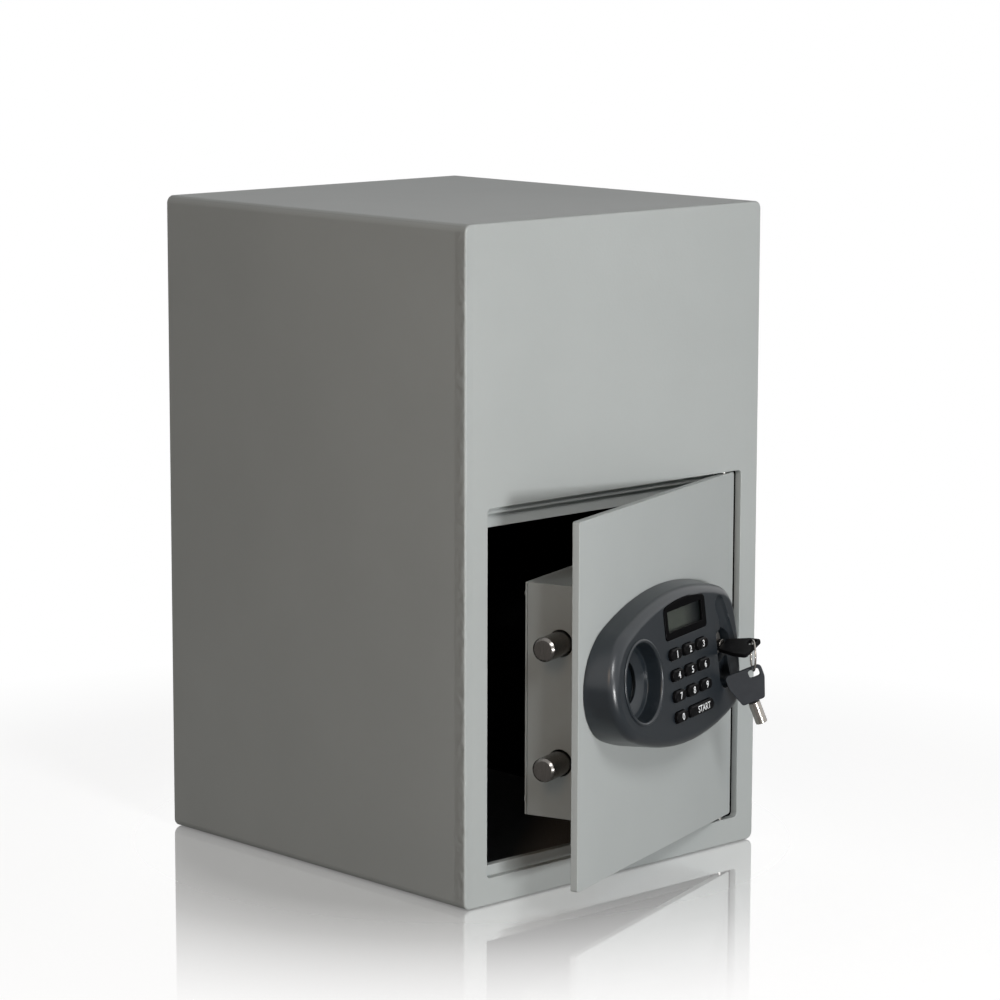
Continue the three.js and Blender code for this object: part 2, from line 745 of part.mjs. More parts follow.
// Lock case with its cover, the cover's rails, and the inner bolt guide
function addLockCase() {
  const rim = polygon([[caseLeft, caseBottom], [caseRight, caseBottom], [caseRight, caseTop],
    [caseLeft, caseTop]]);
  rim.holes.push(roundedHole(caseLeft + caseSheet, caseBottom + caseSheet, caseRight - caseSheet,
    caseTop - caseSheet, 1));
  let walls = extruded(rim, caseBack + caseSheet + seat, doorBack, 2);
  for (const height of boltHeights) {
    walls = cut(walls, bar('x', boltHoleDiameter / 2, caseLeft - 1, caseLeft + caseSheet + 1,
      height, boltAxis, arc));
  }
  addPart(panel, 'lock_case', walls, 'paint');

  const inner = caseSheet + seat;
  const lip = roundedShape(caseLeft + inner, caseBottom + inner, caseRight - inner,
    caseTop - inner, 1);
  lip.holes.push(roundedHole(caseLeft + inner + caseSheet, caseBottom + inner + caseSheet,
    caseRight - inner - caseSheet, caseTop - inner - caseSheet, 1));
  const railEnd = caseRight - caseSheet;
  const railStart = trayLeft - lidBorder;
  const lidBottom = trayBottom - lidBorder;
  const lidTop = trayTop + lidBorder;
  const railBack = caseBack - lidThickness - 2 * seat;
  const railTip = railBack - railLip;
  const root = caseBack + caseSheet / 2;
  let cover = join(
    block(caseLeft, caseRight, caseBottom, caseTop, caseBack, caseBack + caseSheet),
    extruded(lip, root, caseBack + caseSheet + coverLip, 2),
    block(railStart, railEnd, lidBottom - seat - railWidth, lidBottom - seat, railTip, root),
    block(railStart, railEnd, lidBottom - seat - railWidth, lidBottom + 1.5, railTip, railBack),
    block(railStart, railEnd, lidTop + seat, lidTop + seat + railWidth, railTip, root),
    block(railStart, railEnd, lidTop - 1.5, lidTop + seat + railWidth, railTip, railBack),
  );
  cover = cut(cover,
    block(trayLeft, trayRight, trayBottom, trayTop, caseBack - 1, caseBack + caseSheet + 1),
    bar('z', resetDiameter / 2 + seat, caseBack - 1, caseBack + caseSheet + 1, ...resetPlace));
  addPart(panel, 'lock_case_cover', cover, 'paint');

  const guideX = caseLeft + guideOffset;
  let guide = block(guideX, guideX + guideThickness, boltHeights[0] - guideMargin,
    boltHeights[1] + guideMargin, doorBack - guideReach, doorBack);
  for (const height of boltHeights) {
    guide = cut(guide, bar('x', boltDiameter / 2 + seat, guideX - 1, guideX + guideThickness + 1,
      height, boltAxis, 24));
  }
  addPart(panel, 'bolt_guide', guide, 'zinc');
}

// Two bolts on a carrier bar with the rack, and the arm that the lock's lever pushes
function addBolts() {
  const radius = boltDiameter / 2;
  boltHeights.forEach((height, i) => {
    const body = turned([[0, 0], [radius - boltEdge, 0], [radius, boltEdge],
      [radius, boltLength - seat], [0, boltLength - seat]], 24);
    addPart(panel, ['bolt_lower', 'bolt_upper'][i],
      body.rotate([0, 90, 0]).translate([boltTip, height, boltAxis]), 'steel');
  });

  const carrier = block(boltTail, barRight, boltHeights[0] - boltBarOverlap,
    boltHeights[1] + boltBarOverlap, boltAxis - boltBarDepth / 2, boltAxis + boltBarDepth / 2);
  const rack = extruded(polygon(rackOutline()), gearBack, gearBack + gearWidth);
  const arm = block(barRight - 1, lugLeft + lugWidth, armTop - armWidth, armTop, leverBack,
    leverBack + leverThickness);
  const lug = block(lugLeft, lugLeft + lugWidth, armTop - 1, lockPlace[1] + leverWidth / 2,
    leverBack, leverBack + leverThickness);
  addPart(panel, 'bolt_bar', join(carrier, rack, arm, lug), 'zinc');
}

// Rack with straight flanks, one tooth right under the pinion
function rackOutline() {
  const flank = Math.tan(20 * degree);
  const pitchHalf = (rackPitch / 2 - rackBacklash) / 2;
  const tipHalf = pitchHalf - 0.9 * rackModule * flank;
  const rootHalf = pitchHalf + 1.25 * rackModule * flank;
  const tipHeight = rackPitchHeight + 0.9 * rackModule;
  const end = pinionX + (rackTeeth / 2) * rackPitch;
  const points = [[barRight - 1, rackRootHeight - rackBody], [end, rackRootHeight - rackBody],
    [end, rackRootHeight]];
  for (let i = (rackTeeth - 1) / 2; i >= -(rackTeeth - 1) / 2; i -= 1) {
    const x = pinionX + i * rackPitch;
    points.push([x + rootHalf, rackRootHeight], [x + tipHalf, tipHeight]);
    points.push([x - tipHalf, tipHeight], [x - rootHalf, rackRootHeight]);
  }
  points.push([barRight - 1, rackRootHeight]);
  return points;
}

// Pinion with involute flanks, a gap between two teeth right over the rack tooth
function pinionOutline() {
  const base = pitchRadius * Math.cos(20 * degree);
  const radii = [pitchRadius - 1.25 * rackModule, base, pitchRadius, pitchRadius + 0.9 * rackModule];
  const involute = (r) => Math.sqrt((r / base) ** 2 - 1) - Math.acos(base / r);
  const half = Math.PI / pinionTeeth / 2 - rackBacklash / 4 / pitchRadius;
  const spread = radii.map((r) => half + involute(pitchRadius) - involute(Math.max(r, base)));
  const points = [];
  for (let i = 0; i < pinionTeeth; i += 1) {
    const middle = -Math.PI / 2 + ((i + 0.5) * 2 * Math.PI) / pinionTeeth;
    radii.forEach((r, k) => points.push([r * Math.cos(middle - spread[k]),
      r * Math.sin(middle - spread[k])]));
    for (let k = radii.length - 1; k >= 0; k -= 1) {
      points.push([radii[k] * Math.cos(middle + spread[k]), radii[k] * Math.sin(middle + spread[k])]);
    }
  }
  return points;
}

// Pinion on the shaft of a gearbox that stands on the door, with its motor
function addDrive() {
  const pinion = cut(extruded(polygon(pinionOutline()), gearBack, gearBack + gearWidth),
    bar('z', driveShaftDiameter / 2 + seat, gearBack - 1, gearBack + gearWidth + 1, 0, 0, 16));
  addPart(panel, 'drive_pinion', pinion.translate([pinionX, pinionHeight, 0]), 'brass');

  const boxFront = gearBack - 1;
  const left = pinionX - gearboxWidth / 2;
  const right = pinionX + gearboxWidth / 2;
  const top = pinionHeight + gearboxHeight / 2 + gearboxRise;
  const gearbox = join(
    block(left, right, top - gearboxHeight, top, boxFront - gearboxDepth, boxFront),
    block(left, left + gearboxLeg, top - gearboxLeg, top, boxFront - 1, doorBack),
    block(right - gearboxLeg, right, top - gearboxLeg, top, boxFront - 1, doorBack),
    bar('z', driveShaftDiameter / 2, boxFront - 1, gearBack + gearWidth + 1, pinionX,
      pinionHeight, 16));
  addPart(panel, 'gearbox', gearbox, 'charcoal');
  addPart(panel, 'gear_motor', bar('x', motorDiameter / 2, right + seat, right + seat + motorLength,
    top - gearboxHeight / 2, boxFront - gearboxDepth / 2 - 1), 'steel');
}

// Battery tray, cells, the sliding lid and the reset button
function addBatteries() {
  const trayFront = trayBack + cellDiameter + 2 * seat;
  const tray = cut(
    block(trayLeft - trayWall, trayRight + trayWall, trayBottom - trayWall, trayTop + trayWall,
      trayBack, trayFront + trayWall),
    block(trayLeft, trayRight, trayBottom, trayTop, trayBack - 1, trayFront));
  addPart(panel, 'battery_tray', tray, 'black');

  const radius = cellDiameter / 2;
  for (let i = 0; i < cellCount; i += 1) {
    const cell = join(bar('x', radius, 0, cellLength, 0, 0),
      bar('x', radius / 3, cellLength - 1, cellLength + cellNub, 0, 0, 12));
    const height = trayBottom + seat + radius + i * (cellDiameter + seat);
    const flipped = i % 2 ? cell.rotate([0, 180, 0]).translate([cellLength + cellNub, 0, 0]) : cell;
    addPart(panel, `battery_${i + 1}`,
      flipped.translate([trayLeft + seat, height, trayBack + seat + radius]), 'cell');
  }

  const lidBack = caseBack - seat - lidThickness;
  let lid = block(trayLeft - lidBorder, trayRight + lidBorder, trayBottom - lidBorder,
    trayTop + lidBorder, lidBack, caseBack - seat);
  for (let i = 0; i < 3; i += 1) {
    const x = trayLeft + 4 + i * 3;
    lid = join(lid, block(x, x + 1.4, trayMiddle[1] - 12, trayMiddle[1] + 12, lidBack - 0.6,
      lidBack + 0.5));
  }
  addPart(panel, 'battery_lid', lid, 'black');

  const buttonRadius = resetDiameter / 2;
  const outside = caseBack - resetTravel;
  const inside = caseBack + caseSheet + seat;
  const button = turned([[0, outside - 0.5], [buttonRadius - 0.5, outside - 0.5],
    [buttonRadius, outside], [buttonRadius, inside], [buttonRadius + 1.5, inside],
    [buttonRadius + 1.5, inside + 1.5], [0, inside + 1.5]], 16);
  addPart(panel, 'reset_button', button.translate([...resetPlace, 0]), 'red');
}

// Shape of the display's frame on the face, grown by an allowance
function bezelShape(grow) {
  const shape = new THREE.Shape();
  const x0 = bezelLeft - grow;
  const x1 = bezelRight + grow;
  const y0 = faceY(bezelBottom) - grow;
  const y1 = faceY(bezelTop) + grow;
  const r = bezelCorner + grow;
  shape.moveTo(x0 + r, y0);
  shape.lineTo(x1 - r, y0);
  shape.absarc(x1 - r, y0 + r, r, -Math.PI / 2, 0, false);
  shape.lineTo(x1, y1 - r);
  shape.quadraticCurveTo(x1, y1, x1 - r, y1 + 1);
  shape.quadraticCurveTo((x0 + x1) / 2, y1 + 2 * bezelCrown - 1, x0 + r, y1 + 1);
  shape.quadraticCurveTo(x0, y1, x0, y1 - r);
  shape.lineTo(x0, y0 + r);
  shape.absarc(x0 + r, y0 + r, r, Math.PI, Math.PI * 1.5, false);
  return shape;
}

// Rectangle round the display window, grown by an allowance
function windowBlock(grow, z0, z1) {
  return block(windowLeft - grow, windowRight + grow, faceY(windowBottom) - grow,
    faceY(windowTop) + grow, z0, z1);
}

// Keys as name, column position, row position and width
const keyList = [];
for (let digit = 1; digit <= 9; digit += 1) {
  keyList.push([`key_${digit}`, keyColumns[(digit - 1) % 3], keyRows[Math.floor((digit - 1) / 3)],
    keyWidth]);
}
keyList.push(['key_0', keyColumns[0], keyRows[3], keyWidth]);
keyList.push(['key_start', (keyColumns[1] + keyColumns[2]) / 2, keyRows[3],
  keyColumns[2] - keyColumns[1] + keyWidth]);

// Tools that cut the well, the groove and the recess; with extra they are thicker all round
function wellTool(extra) {
  const shape = roundedShape(wellLeft - extra, wellBottom - extra, wellRight + extra,
    wellTop + extra, wellCorner);
  const points = shape.getPoints(4).slice(0, -1).map(({ x, y }) => ({ x, y, nx: 0, ny: 0 }));
  const floor = (height) => wellFloorHeight + wellFloorSlope * (height - lockPlace[1]) - extra;
  return stacked(points, [[0, floor], [0, toolReach]]);
}

function grooveTool(extra) {
  const tube = (grooveWidth ** 2 / 4 + grooveDepth ** 2) / (2 * grooveDepth);
  const lift = tube - grooveDepth;
  const radius = tube + extra;
  const centre = (angle) => [grooveCentre[0] + grooveRadius * Math.cos(angle),
    grooveCentre[1] + grooveRadius * Math.sin(angle)];
  const rows = [];
  const steps = 8;
  const sides = 24;
  for (let k = 0; k <= steps; k += 1) {
    const angle = (grooveEnd + ((grooveStart - grooveEnd) * k) / steps) * degree;
    const [x, y] = centre(angle);
    const row = [];
    for (let i = 0; i < sides; i += 1) {
      const turn = (2 * Math.PI * i) / sides;
      const out = radius * Math.cos(turn);
      row.push([x + out * Math.cos(angle), faceY(y + out * Math.sin(angle)),
        lift + radius * Math.sin(turn)]);
    }
    rows.push(row);
  }
  const [endX, endY] = centre(grooveEnd * degree);
  const end = new THREE.SphereGeometry(radius, 24, 12);
  end.rotateX(Math.PI / 2);
  end.translate(endX, faceY(endY), lift);
  return faceToPanel(join(skin(rows), solid(end)));
}

function recessTool(extra) {
  return bar('z', recessRadius + extra, recessFloor - extra, toolReach, ...lockPlace, arc);
}

// Keypad housing: a moulded shell with a rounded edge and a tilted face
function addHousing() {
  const outline = housingOutline();
  const radius = housingEdgeRadius;
  const rings = [[0, seat]];
  const steps = 4;
  for (let k = 0; k <= steps; k += 1) {
    const angle = (Math.PI / 2) * (k / steps);
    rings.push([housingDraft + radius * (1 - Math.cos(angle)),
      (height) => faceHeightAt(height) - radius * (1 - Math.sin(angle))]);
  }
  const cavity = cut(stacked(outline, [
    [housingWall, 0],
    [housingWall + housingDraft, (height) => faceHeightAt(height) - radius - 1],
    [housingDraft + radius - 0.5, (height) => faceHeightAt(height) - housingWall],
  ]), wellTool(housingWall), grooveTool(housingWall), recessTool(housingWall));

  const posts = [];
  for (const x of [boardLeft + postInset, boardRight - postInset]) {
    for (const height of [boardBottom + postInset, boardTop - postInset]) {
      posts.push(bar('z', postRadius, boardFace + seat, -housingWall / 2, x, faceY(height), 12));
    }
  }
  const holes = keyList.map(([, x, height, width]) => stacked(
    pillOutline(x, faceY(height), width, keyHeight), [[-keyGap, -housingWall - 1], [-keyGap, 1]]));
  const cupHole = cupRadius + cupSheet + seat;
  const body = cut(join(cut(stacked(outline, rings), cavity), faceToPanel(join(...posts))),
    wellTool(0), grooveTool(0), recessTool(0),
    bar('z', barrelDiameter / 2 + seat, -1, recessFloor + 1, ...lockPlace, 28),
    faceToPanel(bar('z', cupHole, -toolReach, toolReach, cupPlace[0], faceY(cupPlace[1]), arc)),
    faceToPanel(extruded(bezelShape(seat), -bezelDepth - seat, 2)),
    faceToPanel(windowBlock(windowLap + seat, -housingWall - 1, 1)),
    faceToPanel(join(...holes)));
  addPart(panel, 'keypad_housing', body, 'charcoal');
}

// Finger cup: rounded rim, wall, ledge, cone down to a thin lip and the pocket under it
function addCup() {
  const body = turned([
    [0, -cupBottomDepth - cupSheet], [cupPocketRadius + cupSheet, -cupBottomDepth - cupSheet],
    [cupPocketRadius + cupSheet, -cupLipDepth - 0.4],
    [cupLedgeRadius, -cupLedgeDepth - cupSheet - 0.9],
    [cupRadius + cupSheet, -cupLedgeDepth - cupSheet], [cupRadius + cupSheet, seat],
    [cupRadius + cupRim, seat], [cupRadius + cupRim, 0.7], [cupRadius + cupRim - 0.8, 1.3],
    [cupRadius + 1.3, 1.3], [cupRadius + 0.4, 0.6], [cupRadius, -1.2],
    [cupRadius - 0.5, -cupLedgeDepth], [cupLedgeRadius, -cupLedgeDepth - 0.6],
    [cupLipRadius, -cupLipDepth], [cupLipRadius, -cupLipDepth - 0.7],
    [cupPocketRadius, -cupLipDepth - 0.4], [cupPocketRadius, -cupBottomDepth],
    [0, -cupBottomDepth],
  ]);
  addPart(face, 'grip_cup', body.translate([cupPlace[0], faceY(cupPlace[1]), 0]), 'charcoal');
}

// Display: frame, lens and panel
function addDisplay() {
  addPart(face, 'lcd_bezel', cut(extruded(bezelShape(0), -bezelDepth, bezelProud),
    windowBlock(0, -bezelDepth - 1, bezelProud + 1)), 'black');
  const lensFace = -bezelDepth - seat;
  const lensBack = lensFace - lensThickness;
  addPart(face, 'lcd_lens', windowBlock(windowLap, lensBack, lensFace), 'glass');
  addPart(face, 'lcd_panel', windowBlock(windowLap, boardFace + seat, lensBack - seat), 'display');
}

function addKeys() {
  for (const [name, x, height, width] of keyList) {
    const outline = pillOutline(x, faceY(height), width, keyHeight);
    addPart(face, name, join(
      stacked(outline, [[0, keyTop - keyFlangeThickness / 2], [0, keyProud - keyBevel],
        [keyBevel * 0.3, keyProud - keyBevel * 0.3], [keyBevel, keyProud]]),
      stacked(outline, [[-keyFlange, keyTop - keyFlangeThickness], [-keyFlange, keyTop]])), 'black');
  }
  addPart(face, 'circuit_board', extruded(roundedShape(boardLeft, faceY(boardBottom), boardRight,
    faceY(boardTop), boardCorner), boardFace - boardThickness, boardFace), 'board');
}

// Override lock: barrel through the door, its nut, the plug and the lever behind it
function addLock() {
  const flangeBack = recessFloor + seat;
  const flangeFace = flangeBack + barrelFlange;
  const barrel = turned([[0, barrelBack], [barrelDiameter / 2, barrelBack],
    [barrelDiameter / 2, flangeBack], [barrelFlangeDiameter / 2, flangeBack],
    [barrelFlangeDiameter / 2, flangeFace - 0.6], [barrelFlangeDiameter / 2 - 0.6, flangeFace],
    [0, flangeFace]], 28).translate([...lockPlace, 0]);
  addPart(panel, 'lock_barrel', cut(barrel,
    bar('z', plugDiameter / 2 + seat, barrelBack - 1, flangeFace + 1, ...lockPlace, 24)), 'steel');

  const hexagon = [0, 1, 2, 3, 4, 5].map((i) => [
    lockPlace[0] + (nutAcross / Math.sqrt(3)) * Math.cos((i * Math.PI) / 3),
    lockPlace[1] + (nutAcross / Math.sqrt(3)) * Math.sin((i * Math.PI) / 3)]);
  addPart(panel, 'lock_nut', cut(extruded(polygon(hexagon), doorBack - nutThickness, doorBack),
    bar('z', barrelDiameter / 2 + seat, doorBack - nutThickness - 1, doorBack + 1, ...lockPlace, 28)),
  'zinc');

  const plugBack = leverBack + leverThickness + seat;
  const keywayBack = flangeFace - keywayDepth;
  const keyway = cut(bar('z', keywayOuter / 2, keywayBack, flangeFace + 1, ...lockPlace),
    bar('z', keywayInner / 2, keywayBack - 1, flangeFace + 2, ...lockPlace, 16));
  addPart(panel, 'lock_plug', cut(bar('z', plugDiameter / 2, plugBack, flangeFace, ...lockPlace, 24),
    keyway), 'steel');

  const lever = new THREE.Shape();
  const half = leverWidth / 2;
  lever.moveTo(half, -leverReach + half);
  lever.lineTo(plugDiameter / 2, 0);
  lever.absarc(0, 0, plugDiameter / 2, 0, Math.PI, false);
  lever.lineTo(-half, -leverReach + half);
  lever.absarc(0, -leverReach + half, half, Math.PI, Math.PI * 2, false);
  addPart(panel, 'lock_lever', extruded(lever, leverBack, leverBack + leverThickness, 8)
    .translate([...lockPlace, 0]), 'zinc');
}

// Head of a key, drawn across and along, the hole near its wide end
function keyHead() {
  const wide = headWide / 2;
  const narrow = headNarrow / 2;
  const r = headCorner;
  const shape = new THREE.Shape();
  shape.moveTo(-narrow + 2, 0);
  shape.lineTo(narrow - 2, 0);
  shape.quadraticCurveTo(narrow, 0, narrow + 0.6, 2);
  shape.lineTo(wide - 0.6, headLength * 0.55);
  shape.quadraticCurveTo(wide, headLength * 0.62, wide, headLength * 0.7);
  shape.lineTo(wide, headLength - r);
  shape.absarc(wide - r, headLength - r, r, 0, Math.PI / 2, false);
  shape.lineTo(-wide + r, headLength);
  shape.absarc(-wide + r, headLength - r, r, Math.PI / 2, Math.PI, false);
  shape.lineTo(-wide, headLength * 0.7);
  shape.quadraticCurveTo(-wide, headLength * 0.62, -wide + 0.6, headLength * 0.55);
  shape.lineTo(-narrow - 0.6, 2);
  shape.quadraticCurveTo(-narrow, 0, -narrow + 2, 0);
  const holeTop = headLength - headHoleRim;
  shape.holes.push(roundedHole(headHoleOffset - headHoleAcross / 2, holeTop - headHoleAlong,
    headHoleOffset + headHoleAcross / 2, holeTop, 1.8));
  return extruded(shape, -headThickness / 2, headThickness / 2);
}

function keyShank(length) {
  return cut(bar('y', shankDiameter / 2, -seat - length, -seat, 0, 0),
    bar('y', shankBore / 2, -seat - length - 1, -seat - 2, 0, 0));
}

// Both keys and the ring; the ring hangs in the head's hole and holds the spare
function addKeySet() {
  const tilt = headTilt * degree;
  const turn = ringHeading * degree;
  const lean = spareLean * degree;
  const up = new THREE.Vector3(0, 1, 0);
  const outward = new THREE.Vector3(0, 0, 1);
  const across = new THREE.Vector3(Math.cos(tilt), Math.sin(tilt), 0);
  const keyOrigin = new THREE.Vector3(...lockPlace, headFront);
  const keyFrame = [across, outward, across.clone().cross(outward), keyOrigin];
  const keywayFloor = recessFloor + seat + barrelFlange - keywayDepth + seat;
  addPart(panel, 'override_key_head', placed(keyHead(), ...keyFrame), 'black');
  addPart(panel, 'override_key_shank', placed(keyShank(headFront - seat - keywayFloor), ...keyFrame),
    'steel');

  const holeAlong = headLength - headHoleRim - headHoleAlong / 2;
  const hole = keyOrigin.clone().addScaledVector(across, headHoleOffset)
    .addScaledVector(outward, holeAlong);
  const away = new THREE.Vector3(Math.sin(turn), 0, -Math.cos(turn));
  const side = new THREE.Vector3(Math.cos(turn), 0, Math.sin(turn));
  const ringCentre = hole.clone().addScaledVector(away, -ringShift).addScaledVector(up, -ringDrop);
  const ring = solid(new THREE.TorusGeometry(ringRadius, ringWire, 10, 36));
  addPart(panel, 'key_ring', placed(ring, away, up, side, ringCentre), 'steel');

  const spareUp = up.clone().multiplyScalar(Math.cos(lean)).addScaledVector(side, -Math.sin(lean));
  const spareAcross = side.clone().multiplyScalar(Math.cos(lean)).addScaledVector(up, Math.sin(lean));
  const wireInHole = holeAlong + headHoleAlong / 2 - ringWire - seat;
  const spareOrigin = ringCentre.clone().addScaledVector(up, -ringRadius)
    .addScaledVector(spareUp, -wireInHole).addScaledVector(spareAcross, -headHoleOffset);
  const spareFrame = [spareAcross, spareUp, spareAcross.clone().cross(spareUp), spareOrigin];
  addPart(panel, 'spare_key_head', placed(keyHead(), ...spareFrame), 'black');
  addPart(panel, 'spare_key_shank', placed(keyShank(spareShankLength), ...spareFrame), 'steel');
}

addCabinet();
addStops();
addDepositPath();
addFlap();
addMat();
addDoorPlate();
addLockCase();
addBolts();
addDrive();
addBatteries();
addHousing();
addCup();
addDisplay();
addKeys();
addLock();
addKeySet();

export default safe;
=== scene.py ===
import json
import math

import bmesh
import bpy
from mathutils import Matrix, Vector


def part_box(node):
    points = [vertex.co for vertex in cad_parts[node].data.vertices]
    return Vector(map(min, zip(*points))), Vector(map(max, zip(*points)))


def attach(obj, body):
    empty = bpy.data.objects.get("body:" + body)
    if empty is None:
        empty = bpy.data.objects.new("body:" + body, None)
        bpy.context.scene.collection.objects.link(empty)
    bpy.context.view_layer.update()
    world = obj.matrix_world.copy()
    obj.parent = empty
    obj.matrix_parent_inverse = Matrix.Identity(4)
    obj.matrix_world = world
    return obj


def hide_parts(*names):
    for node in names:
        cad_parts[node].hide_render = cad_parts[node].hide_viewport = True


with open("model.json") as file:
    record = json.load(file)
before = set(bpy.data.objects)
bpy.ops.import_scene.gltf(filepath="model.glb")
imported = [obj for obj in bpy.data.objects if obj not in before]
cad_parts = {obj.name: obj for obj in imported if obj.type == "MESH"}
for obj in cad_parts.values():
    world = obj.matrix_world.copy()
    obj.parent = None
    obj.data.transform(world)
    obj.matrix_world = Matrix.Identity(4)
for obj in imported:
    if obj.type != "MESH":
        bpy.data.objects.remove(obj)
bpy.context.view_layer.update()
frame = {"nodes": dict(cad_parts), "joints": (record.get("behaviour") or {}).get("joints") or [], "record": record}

bl_info = {
    "name": "Deposit Safe",
    "version": (1, 0, 0),
    "blender": (4, 5, 0),
    "location": "3D View > Sidebar > Safe",
    "description": "Rounded edges, mouldings and finishes for the packed deposit safe",
    "category": "Object",
}

JOINTS = {joint["name"]: joint for joint in frame["joints"]}
BODY_OF = {node: body for body, nodes in frame["record"]["behaviour"]["bodies"].items()
           for node in nodes}
SLOT_OF = {part["node"]: part["material_slot"] for part in frame["record"]["subparts"]}
MM = 0.001

# Sizes in millimetres, as in part.mjs; only the key caps are drawn larger than their solids
PIVOT_FROM_FREE = 249.4
DOOR_THICKNESS = 5.7
SEAT = 0.3
BOLT_TIP = 6.9
BOLT_LENGTH = 84 - SEAT
BOLT_RADIUS = 9
BOLT_DEPTH = -32.3
BOLT_HEIGHTS = {"bolt_lower": 107.8, "bolt_upper": 196.4}
MIDDLE = 168.4
COVER_INSET, GEARBOX_INSET, SCREW_SINK = 10, 4, 0.1
FACE_HEIGHT = 25.4
NOSE = [(6.7, 0), (6.7, 22), (22.4, 36.3), (37.4, 41.7)]
CREST_CENTRE, CREST_RADIUS = (130.4, -202.6), 261.4
TAIL_CENTRE, TAIL_RADIUS = (24.4, 0), 200
CORNER_RADIUS = 28
DRAFT = 1.6
EDGE_RADIUS = 7.5
WALL = 2.5
WELL = (180.8, 140, 206, 214)
WELL_CORNER = 9
WELL_FLOOR, WELL_SLOPE = 20.1, 0.1
GROOVE_CENTRE, GROOVE_RADIUS = (-3.9, 102.5), 220
GROOVE_WIDTH, GROOVE_DEPTH = 16, 5
GROOVE_ANGLES = (27, 9)
LOCK = (196.4, 171)
BARREL_RADIUS = 9.5
RECESS_RADIUS, RECESS_FLOOR = 13.5, 13
CUP = (54.7, 169.5)
CUP_RADIUS = 28.5
CUP_HOLE = CUP_RADIUS + 1.5 + SEAT
BEZEL = (96.6, 191.5, 166, 215)
BEZEL_CROWN, BEZEL_CORNER = 3.7, 3.5
BEZEL_PROUD, BEZEL_DEPTH = 0.6, 1.2
WINDOW = (101.7, 197.4, 159.3, 212.4)
COLUMNS = (107.6, 130.1, 152.6)
ROWS = (180.6, 165.2, 149.8, 134.4)
KEY_WIDTH, KEY_HEIGHT, KEY_PROUD, KEY_GAP = 18.7, 8.2, 2.5, 0.4

# Millimetres in the door's panel (from its free edge, up, outward) and on the tilted face
ALONG = Vector(JOINTS["lid_slide"]["axis"])
OUT = Vector(JOINTS["reset_press"]["axis"])
UP = Vector((0, 0, 1))
PIVOT = Vector(JOINTS["door_swing"]["pos_m"])
PIVOT.z = 0
TILT = math.asin(Vector(JOINTS["key_1_press"]["axis"]).z)
PANEL = Matrix.Translation(PIVOT - ALONG * PIVOT_FROM_FREE * MM + OUT * DOOR_THICKNESS / 2 * MM)
PANEL = PANEL @ Matrix((ALONG, UP, OUT)).transposed().to_4x4() @ Matrix.Scale(MM, 4)
FACE = PANEL @ Matrix.Translation((0, MIDDLE, FACE_HEIGHT)) @ Matrix.Rotation(-TILT, 4, "X")
FACE_IN_PANEL = PANEL.inverted() @ FACE
PANEL_TURN = -math.atan2(ALONG.y, ALONG.x)

# Metres: which edges of the cabinet lie on its front or back, outline and doorway
FACE_REACH, SIDE_REACH, DOORWAY_REACH = 0.1689, 0.147, 0.140
BOTTOM_REACH, TOP_REACH = 0.007, 0.493

# Raised print on the keys, in millimetres
LEGEND_HEIGHT, LEGEND_PROUD = 5.1, 0.015
DIGIT_SHIFT, START_SHIFT, START_LENGTH = 0.9, 3.0, 21

# The camera, fitted to the cabinet's corners in the photo: metres and radians
CAMERA_PLACE = (-1.89885, -2.04432, 0.73142)
CAMERA_TURN, CAMERA_DROP = -0.7591, 0.1655


def face_y(height):
    return (height - MIDDLE) / math.cos(TILT)


def key_list():
    """Each key's node, its middle across and up, its width and its text"""
    keys = [(f"key_{digit}", COLUMNS[(digit - 1) % 3], ROWS[(digit - 1) // 3], KEY_WIDTH,
             str(digit)) for digit in range(1, 10)]
    keys.append(("key_0", COLUMNS[0], ROWS[3], KEY_WIDTH, "0"))
    keys.append(("key_start", (COLUMNS[1] + COLUMNS[2]) / 2, ROWS[3],
                 COLUMNS[2] - COLUMNS[1] + KEY_WIDTH, "START"))
    return keys


# Finishes

def put(tree, socket, value):
    """Links a value to a socket, or sets it where it is a plain one"""
    if isinstance(value, bpy.types.NodeSocket):
        tree.links.new(value, socket)
    else:
        socket.default_value = value


def fill(tree, node, **values):
    """Puts values on a node's named sockets"""
    for key, value in values.items():
        put(tree, node.inputs[key.replace("_", " ")], value)
    return node


def add_node(tree, kind, **values):
    return fill(tree, tree.nodes.new(kind), **values)


def object_place(tree):
    return tree.nodes.new("ShaderNodeTexCoord").outputs["Object"]


def combined(tree, operation, *values, kind="ShaderNodeMath"):
    node = tree.nodes.new(kind)
    node.operation = operation
    for i, value in enumerate(values):
        put(tree, node.inputs[i], value)
    return node.outputs[0]


def noise(tree, scale, detail=3.0, stretch=None, turn=0.0):
    """Noise over the object's own coordinates, stretched where a mapping is given"""
    place = object_place(tree)
    if stretch:
        mapping = add_node(tree, "ShaderNodeMapping", Vector=place, Rotation=(0, 0, turn),
                           Scale=stretch)
        mapping.vector_type = "TEXTURE"
        place = mapping.outputs["Vector"]
    texture = add_node(tree, "ShaderNodeTexNoise", Vector=place, Scale=scale, Detail=detail)
    return texture.outputs["Fac"]


def spread(tree, value, low, high, from_low=0.3, from_high=0.7):
    """A value mapped to run from low to high, held at both ends"""
    node = add_node(tree, "ShaderNodeMapRange", Value=value, From_Min=from_low,
                    From_Max=from_high, To_Min=low, To_Max=high)
    return node.outputs["Result"]


def blend_colours(tree, factor, first, second):
    node = tree.nodes.new("ShaderNodeMix")
    node.data_type = "RGBA"
    for i, value in ((6, first), (7, second)):
        if not isinstance(value, bpy.types.NodeSocket):
            value = (*value[:3], 1)
        put(tree, node.inputs[i], value)
    put(tree, node.inputs[0], factor)
    return node.outputs[2]


